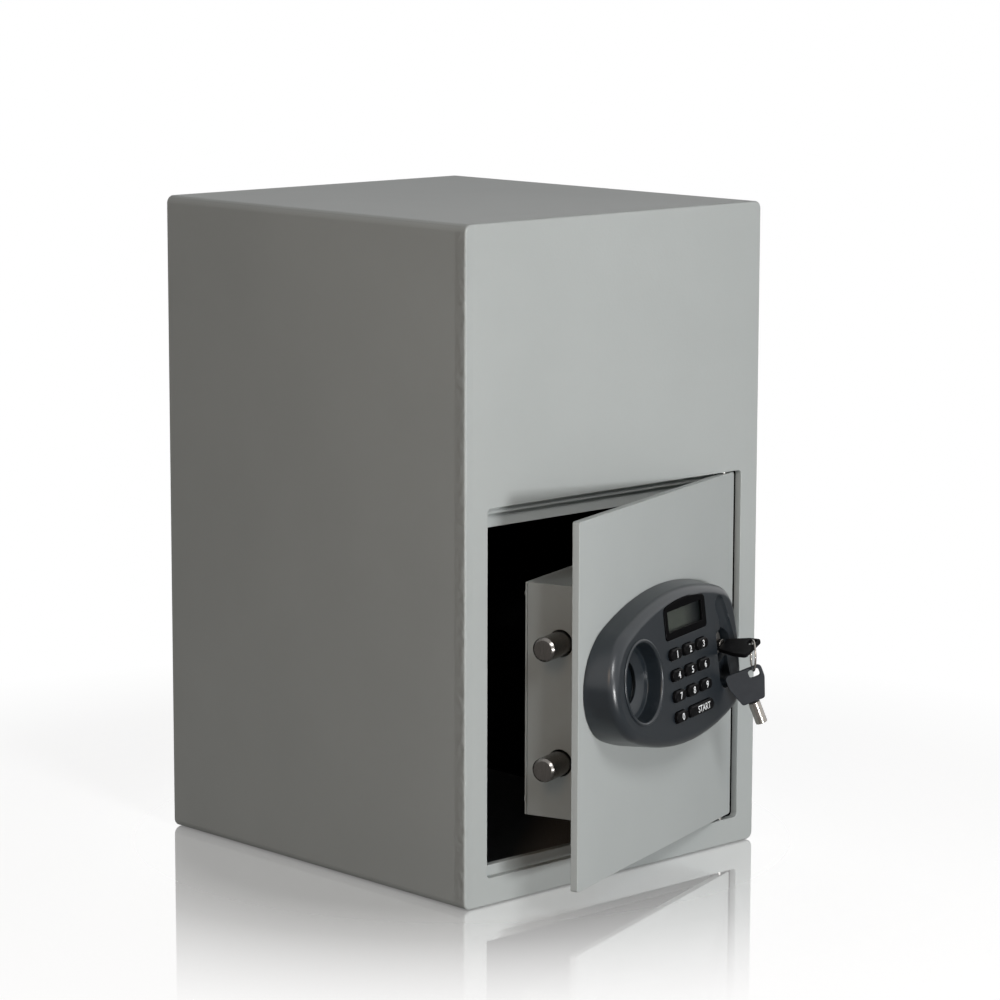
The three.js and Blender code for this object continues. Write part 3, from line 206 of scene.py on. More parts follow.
def bump(tree, height, distance, below=None, strength=1.0):
    node = add_node(tree, "ShaderNodeBump", Distance=distance, Strength=strength, Height=height)
    if below:
        tree.links.new(below, node.inputs["Normal"])
    return node.outputs["Normal"]


def finish(name, colour, roughness, metallic=0.0, mottle=(40, 0.04), gloss=(90, 0.05),
           grain=(1800, 0.00001), stretch=None, turn=0.0, **sockets):
    """A finish with faint mottling, uneven gloss and a fine grain"""
    material = bpy.data.materials.get(name)
    if material:
        return material
    material = bpy.data.materials.new(name)
    material.use_nodes = True
    tree = material.node_tree
    dark = [channel * (1 - mottle[1]) for channel in colour[:3]]
    light = [min(1, channel * (1 + mottle[1])) for channel in colour[:3]]
    cloud = noise(tree, mottle[0], 4, stretch, turn)
    fill(tree, tree.nodes["Principled BSDF"], Metallic=metallic,
         Base_Color=blend_colours(tree, spread(tree, cloud, 0, 1), dark, light),
         Roughness=spread(tree, noise(tree, gloss[0], 5, stretch, turn), roughness - gloss[1],
                          roughness + gloss[1]),
         Normal=bump(tree, noise(tree, grain[0], 2, stretch, turn), grain[1]), **sockets)
    material.diffuse_color = (*colour[:3], 1)
    return material


def paint_finish(settings):
    """Powder coat: orange peel over faint waves, stronger along the ground front corner"""
    material = bpy.data.materials.get("powder_coat")
    if material:
        return material
    material = finish("powder_coat", settings.paint_colour, settings.paint_roughness,
                      mottle=(9, 0.025), gloss=(25, 0.05), grain=(1, 0))
    tree = material.node_tree
    peel = bump(tree, noise(tree, settings.peel_scale, 2), 0.00006)
    waves = bump(tree, noise(tree, 34, 2), 0.0007, peel, 0.35)
    place = add_node(tree, "ShaderNodeSeparateXYZ", Vector=object_place(tree))
    near = spread(tree, place.outputs["X"], 1, 0, -0.1535, -0.1465)
    front = spread(tree, place.outputs["Y"], 1, 0, -0.166, -0.158)
    corner = combined(tree, "MULTIPLY", near, front)
    ripple = combined(tree, "MULTIPLY", corner, noise(tree, 150, 1))
    fill(tree, tree.nodes["Principled BSDF"], Normal=bump(tree, ripple, 0.0016, waves, 0.6),
         Specular_IOR_Level=0.0, Coat_Weight=0.4, Coat_Roughness=0.3)
    return material


def lining_finish(settings):
    """Powder coat outside and painted shade inside: the inside of the cabinet's walls is mixed to near-black"""
    material = bpy.data.materials.get("coat_over_inner_shade")
    if material:
        return material
    material = paint_finish(settings).copy()
    material.name = "coat_over_inner_shade"
    tree = material.node_tree
    shader = tree.nodes["Principled BSDF"]
    place = combined(tree, "SUBTRACT", object_place(tree), (0, 0, 0.25),
                     kind="ShaderNodeVectorMath")
    place = combined(tree, "ABSOLUTE", place, kind="ShaderNodeVectorMath")
    split = add_node(tree, "ShaderNodeSeparateXYZ", Vector=place)
    inside = None
    for axis, limit in (("X", 0.152), ("Y", 0.167), ("Z", 0.248)):
        part = spread(tree, split.outputs[axis], 1, 0, limit, limit + 0.0004)
        inside = combined(tree, "MULTIPLY", inside, part) if inside else part
    outer = shader.inputs["Base Color"].links[0].from_socket
    # Painted shade: near-black colour on the inside of the walls, where the interior lies in shadow
    tree.links.new(blend_colours(tree, inside, outer, (0.008, 0.008, 0.008)),
                   shader.inputs["Base Color"])
    return material


# For each material slot: name, colour, roughness, metallic, mottle, gloss, grain, other sockets
FINISHES = {
    "steel": ("bright_steel", (0.5, 0.49, 0.47), 0.36, 1.0, (120, 0.02), (300, 0.02),
              (2500, 0.000001), {}),
    "key_nickel": ("nickel_plate", (0.4, 0.375, 0.345), 0.2, 1.0, (300, 0.08), (500, 0.07),
                   (3000, 0.00001), {}),
    "zinc": ("zinc_plate", (0.5, 0.51, 0.5), 0.45, 0.9, (70, 0.03), (200, 0.02),
             (1500, 0.000001), {}),
    "black_plastic": ("black_moulding", (0.004, 0.004, 0.0045), 0.4, 0.0, (150, 0.1), (300, 0.05),
                      (2600, 0.00003), {"Specular_IOR_Level": 0.05}),
    "black_gloss": ("gloss_black", (0.003, 0.003, 0.0035), 0.16, 0.0, (50, 0.1), (80, 0.03),
                    (300, 0.000005), {"Specular_IOR_Level": 0.03}),
    "key_plastic": ("key_black", (0.004, 0.004, 0.0045), 0.24, 0.0, (300, 0.1), (300, 0.05),
                    (2000, 0.00001), {"Specular_IOR_Level": 0.05}),
    "lens_glass": ("window_lens", (0.02, 0.025, 0.025), 0.06, 0.0, (60, 0.02), (90, 0.0),
                   (300, 0.0), {"Alpha": 0.25}),
    "board": ("green_laminate", (0.02, 0.11, 0.045), 0.35, 0.0, (400, 0.25), (200, 0.08),
              (900, 0.00004), {}),
    "felt": ("needle_felt", (0.016, 0.016, 0.017), 0.95, 0.0, (260, 0.35), (90, 0.04),
             (900, 0.0004), {"Sheen_Weight": 0.3, "Sheen_Roughness": 0.6}),
    "brass": ("cut_brass", (0.62, 0.44, 0.18), 0.28, 1.0, (200, 0.08), (400, 0.08),
              (2500, 0.00001), {}),
    "cell": ("battery_sleeve", (0.03, 0.034, 0.04), 0.28, 0.2, (30, 0.1), (200, 0.05),
             (1200, 0.00001), {}),
    "red_plastic": ("red_moulding", (0.42, 0.012, 0.01), 0.3, 0.0, (200, 0.05), (300, 0.05),
                    (2500, 0.00001), {}),
}


def finish_for(slot):
    """The finish of a material slot of the record"""
    settings = bpy.context.scene.safe_finish
    if slot == "paint":
        return paint_finish(settings)
    if slot == "display":
        return display_finish()
    if slot == "bolt_steel":
        return finish("turned_steel", settings.bolt_colour, 0.24, 1.0, (60, 0.08), (160, 0.06),
                      (900, 0.000006), (0.02, 1, 1), PANEL_TURN)
    if slot == "charcoal_plastic":
        return finish("charcoal_moulding", settings.moulding_colour,
                      settings.moulding_roughness, 0.0, (60, 0.02), (200, 0.01),
                      (2600, 0.000002), Specular_IOR_Level=0.6)
    *values, sockets = FINISHES[slot]
    return finish(*values, **sockets)


def display_finish():
    """Grey-green panel, darker to the right where the light doesn't reach"""
    material = bpy.data.materials.get("display_panel")
    if material:
        return material
    material = finish("display_panel", (0.09, 0.105, 0.085), 0.3, 0.0, (60, 0.01), (80, 0.01),
                      (300, 0.0))
    tree = material.node_tree
    mapping = add_node(tree, "ShaderNodeMapping", Vector=object_place(tree),
                       Rotation=(0, 0, PANEL_TURN))
    place = add_node(tree, "ShaderNodeSeparateXYZ", Vector=mapping.outputs["Vector"])
    right = (PANEL @ Vector((WINDOW[2], 205, 20))).to_2d()
    edge = right.x * ALONG.x + right.y * ALONG.y
    shade = spread(tree, place.outputs["X"], 0, 1, edge - 0.026, edge - 0.008)
    fill(tree, tree.nodes["Principled BSDF"],
         Base_Color=blend_colours(tree, shade, (0.15, 0.17, 0.14), (0.012, 0.013, 0.015)))
    return material


# Shapes

def to_mesh(bm, name, matrix=None):
    """Turns a bmesh into a mesh, placed by a matrix"""
    if matrix:
        bm.transform(matrix)
    mesh = bpy.data.meshes.new(name)
    bm.to_mesh(mesh)
    bm.free()
    return mesh


def placed(mesh, matrix):
    mesh.transform(matrix)
    return mesh


def on_face(mesh):
    """Takes a mesh from the tilted face's frame to the door panel's"""
    return placed(mesh, FACE_IN_PANEL)


def smoothed(mesh, angle=40):
    """Smooth shading that keeps flat faces flat and breaks at sharp edges"""
    mesh.polygons.foreach_set("use_smooth", [True] * len(mesh.polygons))
    mesh.set_sharp_from_angle(angle=math.radians(angle))
    return applied(mesh, [("WEIGHTED_NORMAL", {"keep_sharp": True, "weight": 80})])


def linked(name, data):
    """A new object in the scene"""
    obj = bpy.data.objects.new(name, data)
    bpy.context.scene.collection.objects.link(obj)
    return obj


def evaluated(obj, name):
    """The mesh that an object comes to; the object itself is removed"""
    mesh = bpy.data.meshes.new_from_object(
        obj.evaluated_get(bpy.context.evaluated_depsgraph_get()))
    bpy.data.objects.remove(obj)
    mesh.name = name
    return mesh


def applied(mesh, steps):
    """The mesh with modifiers applied, each given as a type and its settings"""
    obj = linked("bench", mesh)
    for kind, settings in steps:
        modifier = obj.modifiers.new(kind.lower(), kind)
        for key, value in settings.items():
            setattr(modifier, key, value)
    return evaluated(obj, mesh.name)


def carved(mesh, tools):
    """The mesh with other meshes cut from it"""
    objects = [linked("tool", tool) for tool in tools]
    result = applied(mesh, [("BOOLEAN", {"object": obj, "operation": "DIFFERENCE",
                                         "solver": "EXACT"}) for obj in objects])
    for obj in objects:
        bpy.data.objects.remove(obj)
    return result


def piece(name, mesh, nodes=(), body=None, slot=None, material=None):
    """Adds a finished piece that rides with the node it stands for or with a body"""
    body = body or BODY_OF[nodes[0]]
    slot = slot or SLOT_OF[nodes[0]]
    mesh.materials.clear()
    mesh.materials.append(material or finish_for(slot))
    obj = linked(name, mesh)
    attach(obj, body)
    if nodes:
        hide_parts(*nodes)
    return obj


def round_edges(bm, width, segments, choose=None):
    """Rounds the outward edges of a solid that turn by more than 30 degrees"""
    edges = [edge for edge in bm.edges if len(edge.link_faces) == 2 and edge.is_convex
             and edge.calc_face_angle(0) > math.radians(30)
             and (choose is None or choose(edge))]
    bmesh.ops.bevel(bm, geom=edges, offset=width * MM, offset_type="OFFSET", segments=segments,
                    profile=0.5, affect="EDGES", clamp_overlap=False)


def softened(node, name, rounds, segments=2, material=None):
    """A copy of a CAD node with rounded edges; rounds are pairs of width and edge test"""
    bm = bmesh.new()
    bm.from_mesh(frame["nodes"][node].data)
    bmesh.ops.remove_doubles(bm, verts=bm.verts, dist=2e-6)
    bmesh.ops.dissolve_limit(bm, angle_limit=math.radians(0.5), verts=bm.verts, edges=bm.edges)
    for width, choose in rounds:
        round_edges(bm, width, segments, choose)
    return piece(name, smoothed(to_mesh(bm, name)), [node], material=material)


def stack(rows, name):
    """A closed skin over rows of points, each a full turn; in millimetres"""
    bm = bmesh.new()
    rings = [[bm.verts.new(point) for point in row] for row in rows]
    count = len(rings[0])
    for low, high in zip(rings, rings[1:]):
        for i in range(count):
            bm.faces.new((low[i], low[(i + 1) % count], high[(i + 1) % count], high[i]))
    bm.faces.new(reversed(rings[0]))
    bm.faces.new(rings[-1])
    return to_mesh(bm, name)


def spun(profile, sides, name, matrix=None):
    """A turned solid about Z from points of radius and height, outside going up"""
    turns = [2 * math.pi * i / sides for i in range(sides)]
    rows = [[(max(radius, 0.001) * math.cos(turn), max(radius, 0.001) * math.sin(turn), height)
             for turn in turns] for radius, height in profile]
    return placed(stack(rows, name), matrix or Matrix.Identity(4))


def rounded_rect(x0, y0, x1, y1, radius, steps=8):
    points = []
    for cx, cy, start in ((x1 - radius, y0 + radius, -90), (x1 - radius, y1 - radius, 0),
                          (x0 + radius, y1 - radius, 90), (x0 + radius, y0 + radius, 180)):
        for i in range(steps + 1):
            angle = math.radians(start + 90 * i / steps)
            points.append((cx + radius * math.cos(angle), cy + radius * math.sin(angle)))
    return points


def pill(cx, cy, width, height, grow=0.0, steps=14):
    radius = height / 2
    reach = width / 2 - radius
    points = []
    for side, start in ((1, -90), (-1, 90)):
        for i in range(steps + 1):
            angle = math.radians(start + 180 * i / steps)
            points.append((cx + side * reach + (radius + grow) * math.cos(angle),
                           cy + (radius + grow) * math.sin(angle)))
    return points


def prism(points, z0, z1, name):
    return stack([[(x, y, z) for x, y in points] for z in (z0, z1)], name)


def housing_outline():
    """Outline of the keypad housing with its outward normals"""
    def direction(start, end):
        return math.atan2(end[1] - start[1], end[0] - start[0])

    d1, d2 = CREST_RADIUS - CORNER_RADIUS, TAIL_RADIUS - CORNER_RADIUS
    dx, dy = TAIL_CENTRE[0] - CREST_CENTRE[0], TAIL_CENTRE[1] - CREST_CENTRE[1]
    gap = math.hypot(dx, dy)
    along = (gap * gap + d1 * d1 - d2 * d2) / (2 * gap)
    across = math.sqrt(d1 * d1 - along * along)
    corner = (CREST_CENTRE[0] + (dx * along + dy * across) / gap,
              CREST_CENTRE[1] + (dy * along - dx * across) / gap)
    half = []
    steps = 20
    for i in range(steps):
        t = i / steps
        u = 1 - t
        point = [u ** 3 * a + 3 * u * u * t * b + 3 * u * t * t * c + t ** 3 * d
                 for a, b, c, d in zip(*NOSE)]
        slope = [3 * u * u * (b - a) + 6 * u * t * (c - b) + 3 * t * t * (d - c)
                 for a, b, c, d in zip(*NOSE)]
        length = math.hypot(*slope)
        half.append((point[0], point[1], -slope[1] / length, slope[0] / length))

    def sweep(centre, radius, start, end, count, last):
        for i in range(count + last):
            angle = start + (end - start) * i / count
            nx, ny = math.cos(angle), math.sin(angle)
            half.append((centre[0] + radius * nx, centre[1] + radius * ny, nx, ny))

    crest_end = direction(CREST_CENTRE, corner)
    tail_start = direction(TAIL_CENTRE, corner)
    sweep(CREST_CENTRE, CREST_RADIUS, direction(CREST_CENTRE, NOSE[3]), crest_end, 26, 0)
    sweep(corner, CORNER_RADIUS, crest_end, tail_start, 16, 0)
    sweep(TAIL_CENTRE, TAIL_RADIUS, tail_start, 0, 8, 1)
    upper = [(x, MIDDLE + y, nx, ny) for x, y, nx, ny in half][::-1]
    lower = [(x, MIDDLE - y, nx, -ny) for x, y, nx, ny in half[1:-1]]
    return upper + lower


def face_height(height):
    return FACE_HEIGHT - (height - MIDDLE) * math.tan(TILT)


def ringed(outline, rings, name):
    """The outline stacked in rings, each with its inset and its height"""
    rows = []
    for inset, height in rings:
        row = []
        for x, y, nx, ny in outline:
            px, py = x - nx * inset, y - ny * inset
            row.append((px, py, height(py) if callable(height) else height))
        rows.append(row)
    return stack(rows, name)


def housing_tools(extra):
    """Well, groove and lock recess as solids to cut, grown by an allowance"""
    x0, y0, x1, y1 = WELL
    points = rounded_rect(x0 - extra, y0 - extra, x1 + extra, y1 + extra, WELL_CORNER)
    well = stack([[(x, y, WELL_FLOOR + WELL_SLOPE * (y - LOCK[1]) - extra) for x, y in points],
                  [(x, y, 60) for x, y in points]], "well")
    tube = (GROOVE_WIDTH ** 2 / 4 + GROOVE_DEPTH ** 2) / (2 * GROOVE_DEPTH)
    lift, radius, sides = tube - GROOVE_DEPTH, tube + extra, 48
    rows = []
    start, end = (math.radians(angle) for angle in GROOVE_ANGLES)

    def ring(angle, width, slide):
        x = GROOVE_CENTRE[0] + GROOVE_RADIUS * math.cos(angle) - slide * math.sin(angle)
        y = GROOVE_CENTRE[1] + GROOVE_RADIUS * math.sin(angle) + slide * math.cos(angle)
        row = []
        for i in range(sides):
            turn = 2 * math.pi * i / sides
            out = width * math.cos(turn)
            row.append((x + out * math.cos(angle), face_y(y + out * math.sin(angle)),
                        lift + width * math.sin(turn)))
        return row

    for k in range(12):
        bend = math.pi / 2 * (1 - k / 12)
        rows.append(ring(start, max(radius * math.cos(bend), 0.01), radius * math.sin(bend)))
    for k in range(17):
        rows.append(ring(start + (end - start) * k / 16, radius, 0))
    groove = on_face(stack(rows, "groove"))
    recess = spun([(RECESS_RADIUS + extra, RECESS_FLOOR - extra), (RECESS_RADIUS + extra, 60)], 72,
                  "recess", Matrix.Translation((*LOCK, 0)))
    return [well, groove, recess]


def bezel_outline(grow):
    """Outline of the display's frame on the face, with its crowned top"""
    x0, y0 = BEZEL[0] - grow, face_y(BEZEL[1]) - grow
    x1, y1 = BEZEL[2] + grow, face_y(BEZEL[3]) + grow
    r = BEZEL_CORNER + grow
    points = [(x1 - r + r * math.cos(math.radians(a)), y0 + r + r * math.sin(math.radians(a)))
              for a in range(-90, 1, 10)]

    def curve(a, b, c, steps):
        for i in range(steps):
            t = i / steps
            points.append(tuple((1 - t) ** 2 * p + 2 * t * (1 - t) * q + t * t * s
                                for p, q, s in zip(a, b, c)))

    curve((x1, y1 - r), (x1, y1), (x1 - r, y1 + 1), 8)
    curve((x1 - r, y1 + 1), ((x0 + x1) / 2, y1 + 2 * BEZEL_CROWN - 1), (x0 + r, y1 + 1), 20)
    curve((x0 + r, y1 + 1), (x0, y1), (x0, y1 - r), 8)
    points += [(x0 + r + r * math.cos(math.radians(a)), y0 + r + r * math.sin(math.radians(a)))
               for a in range(180, 270, 10)]
    return points


def window_points(grow):
    x0, y0, x1, y1 = WINDOW
    return rounded_rect(x0 - grow, face_y(y0) - grow, x1 + grow, face_y(y1) + grow, 0.4, 2)


def rounded_mesh(mesh, width, segments=2, angle=40):
    """Rounds the sharp outward edges of a mesh in metres and smooths it"""
    bm = bmesh.new()
    bm.from_mesh(mesh)
    name = mesh.name
    bmesh.ops.remove_doubles(bm, verts=bm.verts, dist=1e-6)
    bmesh.ops.dissolve_limit(bm, angle_limit=math.radians(0.2), verts=bm.verts, edges=bm.edges)
    round_edges(bm, width, segments)
    return smoothed(to_mesh(bm, name), angle)


# Pieces

def at_front(edge):
    return all(vert.co.y < -FACE_REACH for vert in edge.verts)


def at_back(edge):
    return all(vert.co.y > FACE_REACH for vert in edge.verts)


def on_outline(edge):
    return at_front(edge) and (all(abs(vert.co.x) > SIDE_REACH for vert in edge.verts)
                               or all(vert.co.z > TOP_REACH or vert.co.z < BOTTOM_REACH
                                      for vert in edge.verts))


def on_doorway(edge):
    return (at_front(edge) and not on_outline(edge)
            and all(abs(vert.co.x) < DOORWAY_REACH for vert in edge.verts))


def build_cabinet(sizes):
    softened("front_plate", "front_plate_painted",
             [(sizes.front_edge, on_outline), (0.6, on_doorway)], 3)
    # Painted shade: the wrap and the back plate are near-black on their inside faces
    inner_shade = lining_finish(bpy.context.scene.safe_finish)
    softened("body_wrap", "body_wrap_painted", [], material=inner_shade)
    softened("back_plate", "back_plate_painted", [(0.5, at_back)], material=inner_shade)
    for node in ("latch_stop", "sill_stop", "head_stop"):
        softened(node, node + "_folded", [(0.4, None)])


def build_deposit_path():
    softened("slot_collar", "slot_collar_rounded", [(0.35, None)])
    for node in ("chute_plate", "baffle_plate", "flap_bracket", "deposit_flap"):
        softened(node, node + "_cut", [(0.15, None)], 1)
    softened("flap_rod", "flap_rod_turned", [(0.15, None)])


def build_mat():
    """A loose felt mat with a soft edge, lying on the floor of the safe"""
    low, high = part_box("floor_mat")
    size = Vector(high) - Vector(low)
    outline = [(x / MM, y / MM) for x, y in rounded_rect(low[0], low[1], high[0], high[1], 0.006)]
    thick = size.z / MM
    centre = Vector(((low[0] + high[0]) / 2 / MM, (low[1] + high[1]) / 2 / MM))
    rows = []
    for inset, z in ((0.6, 0.0), (0, 0.5), (0, thick - 1.0), (0.5, thick - 0.3), (1.6, thick)):
        row = []
        for x, y in outline:
            away = Vector((x, y)) - centre
            row.append((x - inset * (1 if away.x > 0 else -1),
                        y - inset * (1 if away.y > 0 else -1), low[2] / MM + z))
        rows.append(row)
    mesh = placed(stack(rows, "felt_mat"), Matrix.Scale(MM, 4))
    obj = piece("felt_mat", smoothed(mesh, 60), ["floor_mat"])


def build_door(sizes):
    softened("door_plate", "door_plate_painted", [(sizes.door_edge, None)], 3)
    for node in ("hinge_pin_lower", "hinge_pin_upper"):
        softened(node, node + "_turned", [(0.3, None)])


def build_lock_case(sizes):
    softened("lock_case", "lock_case_folded", [(sizes.case_edge, None)], 3)
    softened("lock_case_cover", "lock_case_cover_pressed", [(0.4, None)])
    for node in ("bolt_guide", "gearbox", "battery_tray", "lock_nut", "lock_lever", "bolt_bar",
                 "drive_pinion", "gear_motor", "reset_button", "battery_lid"):
        softened(node, node + "_finished", [(0.25, None)])
    for i in range(1, 5):
        softened(f"battery_{i}", f"battery_{i}_sleeved", [(0.3, None)])


def build_bolts():
    """Turned bolts with a chamfer and a faintly domed end"""
    radius = BOLT_RADIUS
    profile = [(0, 0.0), (radius - 2.4, 0.02), (radius - 1.7, 0.15), (radius - 0.15, 1.6),
               (radius, 2.0), (radius, 2.01), (radius, BOLT_LENGTH - 0.5),
               (radius - 0.5, BOLT_LENGTH), (0, BOLT_LENGTH)]
    turn = Matrix(((0, 0, 1, 0), (0, 1, 0, 0), (-1, 0, 0, 0), (0, 0, 0, 1)))
    for node, height in BOLT_HEIGHTS.items():
        place = PANEL @ Matrix.Translation((BOLT_TIP, height, BOLT_DEPTH)) @ turn
        piece(node + "_turned", smoothed(spun(profile, 64, node + "_turned", place), 30), [node])


def build_housing():
    """The moulded keypad housing: rounded edge, tilted face, well, groove and recess"""
    outline = housing_outline()
    rings = [(0, SEAT), (0.05, SEAT + 0.6)]
    steps = 12
    for k in range(steps + 1):
        angle = math.pi / 2 * k / steps
        rings.append((DRAFT + EDGE_RADIUS * (1 - math.cos(angle)),
                      lambda y, a=angle: face_height(y) - EDGE_RADIUS * (1 - math.sin(a))))
    body = ringed(outline, rings, "keypad_housing_moulded")
    cavity = ringed(outline, [
        (WALL, 0), (WALL + DRAFT, lambda y: face_height(y) - EDGE_RADIUS - 1),
        (DRAFT + EDGE_RADIUS - 0.5, lambda y: face_height(y) - WALL)], "cavity")
    body = carved(body, [carved(cavity, housing_tools(WALL))])
    tools = housing_tools(0)
    tools.append(spun([(BARREL_RADIUS + SEAT, -1), (BARREL_RADIUS + SEAT, RECESS_FLOOR + 1)], 48,
                      "barrel_hole", Matrix.Translation((*LOCK, 0))))
    tools.append(on_face(spun([(CUP_HOLE, -40), (CUP_HOLE, 10)], 96, "cup_hole",
                              Matrix.Translation((CUP[0], face_y(CUP[1]), 0)))))
    tools.append(on_face(prism(bezel_outline(SEAT), -BEZEL_DEPTH - SEAT, 2, "frame_seat")))
    tools.append(on_face(prism(window_points(2 + SEAT), -WALL - 1, 1, "window_hole")))
    for name, x, height, width, _ in key_list():
        tools.append(on_face(prism(pill(x, face_y(height), width, KEY_HEIGHT, KEY_GAP), -WALL - 1,
                                   1, name + "_hole")))
    body = placed(carved(body, tools), PANEL)
    piece("keypad_housing_moulded", rounded_mesh(body, 0.35, 2, 35), ["keypad_housing"])


def build_cup():
    """The finger cup, spun: rounded rim, wall, ledge, cone to a thin lip and the pocket"""
    r = CUP_RADIUS
    rim = [(r + 1.5, SEAT), (r + 3, SEAT), (r + 2.95, 0.5), (r + 2.7, 0.85), (r + 2.2, 1.1),
           (r + 1.6, 1.15), (r + 1.0, 0.95), (r + 0.5, 0.5), (r + 0.15, -0.3), (r, -1.4),
           (r - 0.05, -2.6)]
    profile = [(0, -21.1), (21.5, -21.1), (21.5, -15.4), (24.5, -13.4), (r + 1.5, -12.5)] + rim + [
        (r - 0.25, -6), (r - 0.45, -10.3), (r - 0.9, -11.1), (r - 1.7, -11.45), (24.5, -11.6),
        (23.6, -11.9), (20, -13.3), (16.9, -14.75), (16.5, -15.0), (16.4, -15.3), (16.5, -15.6),
        (20, -15.4), (20, -19.2), (19.6, -19.6), (0, -19.6)]
    place = FACE @ Matrix.Translation((CUP[0], face_y(CUP[1]), 0))
    piece("grip_cup_moulded", smoothed(spun(profile, 128, "grip_cup_moulded", place), 35),
          ["grip_cup"])


def build_display():
    frame_mesh = prism(bezel_outline(0), -BEZEL_DEPTH, BEZEL_PROUD, "display_frame")
    frame_mesh = carved(frame_mesh, [prism(window_points(0), -5, 5, "window")])
    piece("display_frame", rounded_mesh(placed(frame_mesh, FACE), 0.28, 3), ["lcd_bezel"])
    softened("lcd_lens", "display_window", [(0.1, None)], 1)
    softened("lcd_panel", "display_crystal", [(0.1, None)], 1)
    softened("circuit_board", "circuit_board_etched", [])


def build_keys():
    """Key caps with rounded shoulders and a flange"""
    shoulders = ((1, -4.0), (1, -2.8), (0, -2.8), (0, KEY_PROUD - 1.1),
                 (-0.12, KEY_PROUD - 0.6), (-0.4, KEY_PROUD - 0.25),
                 (-0.85, KEY_PROUD - 0.06), (-1.5, KEY_PROUD))
    for name, x, height, width, _ in key_list():
        rows = [[(px, py, z) for px, py in pill(x, face_y(height), width, KEY_HEIGHT, grow)]
                for grow, z in shoulders]
        mesh = smoothed(placed(stack(rows, name + "_cap"), FACE), 50)
        piece(name + "_cap", mesh, [name])


def legend_mesh(text, height, name, width=None):
    """Raised print of a text, its middle at the origin, in millimetres"""
    curve = bpy.data.curves.new("legend", "FONT")
    curve.body = text
    curve.size = 10
    curve.offset = 0.08 if width else 0.15
    curve.extrude = 0.5
    curve.resolution_u = 6
    mesh = evaluated(linked("legend", curve), name)
    low = Vector([min(v.co[i] for v in mesh.vertices) for i in range(3)])
    high = Vector([max(v.co[i] for v in mesh.vertices) for i in range(3)])
    scale = height / (high.y - low.y)
    across = width / (high.x - low.x) if width else scale * 1.15
    size = Matrix.Diagonal((across, scale, 0.03, 1))
    return placed(mesh, size @ Matrix.Translation(-(low + high) / 2))


def build_legends(settings):
    ink = finish("legend_ink", settings.legend_colour, 0.45, 0.0, (500, 0.02), (500, 0.05),
                 (2000, 0.000005))
    for name, x, height, width, text in key_list():
        start = name == "key_start"
        shift = START_SHIFT if start else DIGIT_SHIFT
        mesh = legend_mesh(text, LEGEND_HEIGHT, name + "_legend", START_LENGTH if start else None)
        place = FACE @ Matrix.Translation((x + shift, face_y(height), KEY_PROUD + LEGEND_PROUD))
        piece(name + "_legend", placed(mesh, place), body=name, slot="key_plastic", material=ink)


def build_lock():
    for node in ("lock_barrel", "lock_plug"):
        softened(node, node + "_turned", [(0.2, None)])


def build_key_set():
    for node in ("override_key_head", "spare_key_head"):
        material = None
        if node == "spare_key_head":
            material = finish("grey_moulding", (0.022, 0.025, 0.03), 0.42, 0.0, (150, 0.1),
                              (300, 0.05), (2600, 0.00001), Specular_IOR_Level=0.2)
        softened(node, node + "_moulded", [(0.55, None)], 3, material)
    for node in ("override_key_shank", "spare_key_shank"):
        softened(node, node + "_plated", [(0.25, None)], 2)
    softened("key_ring", "key_ring_plated", [])


# Repeated pieces from geometry nodes

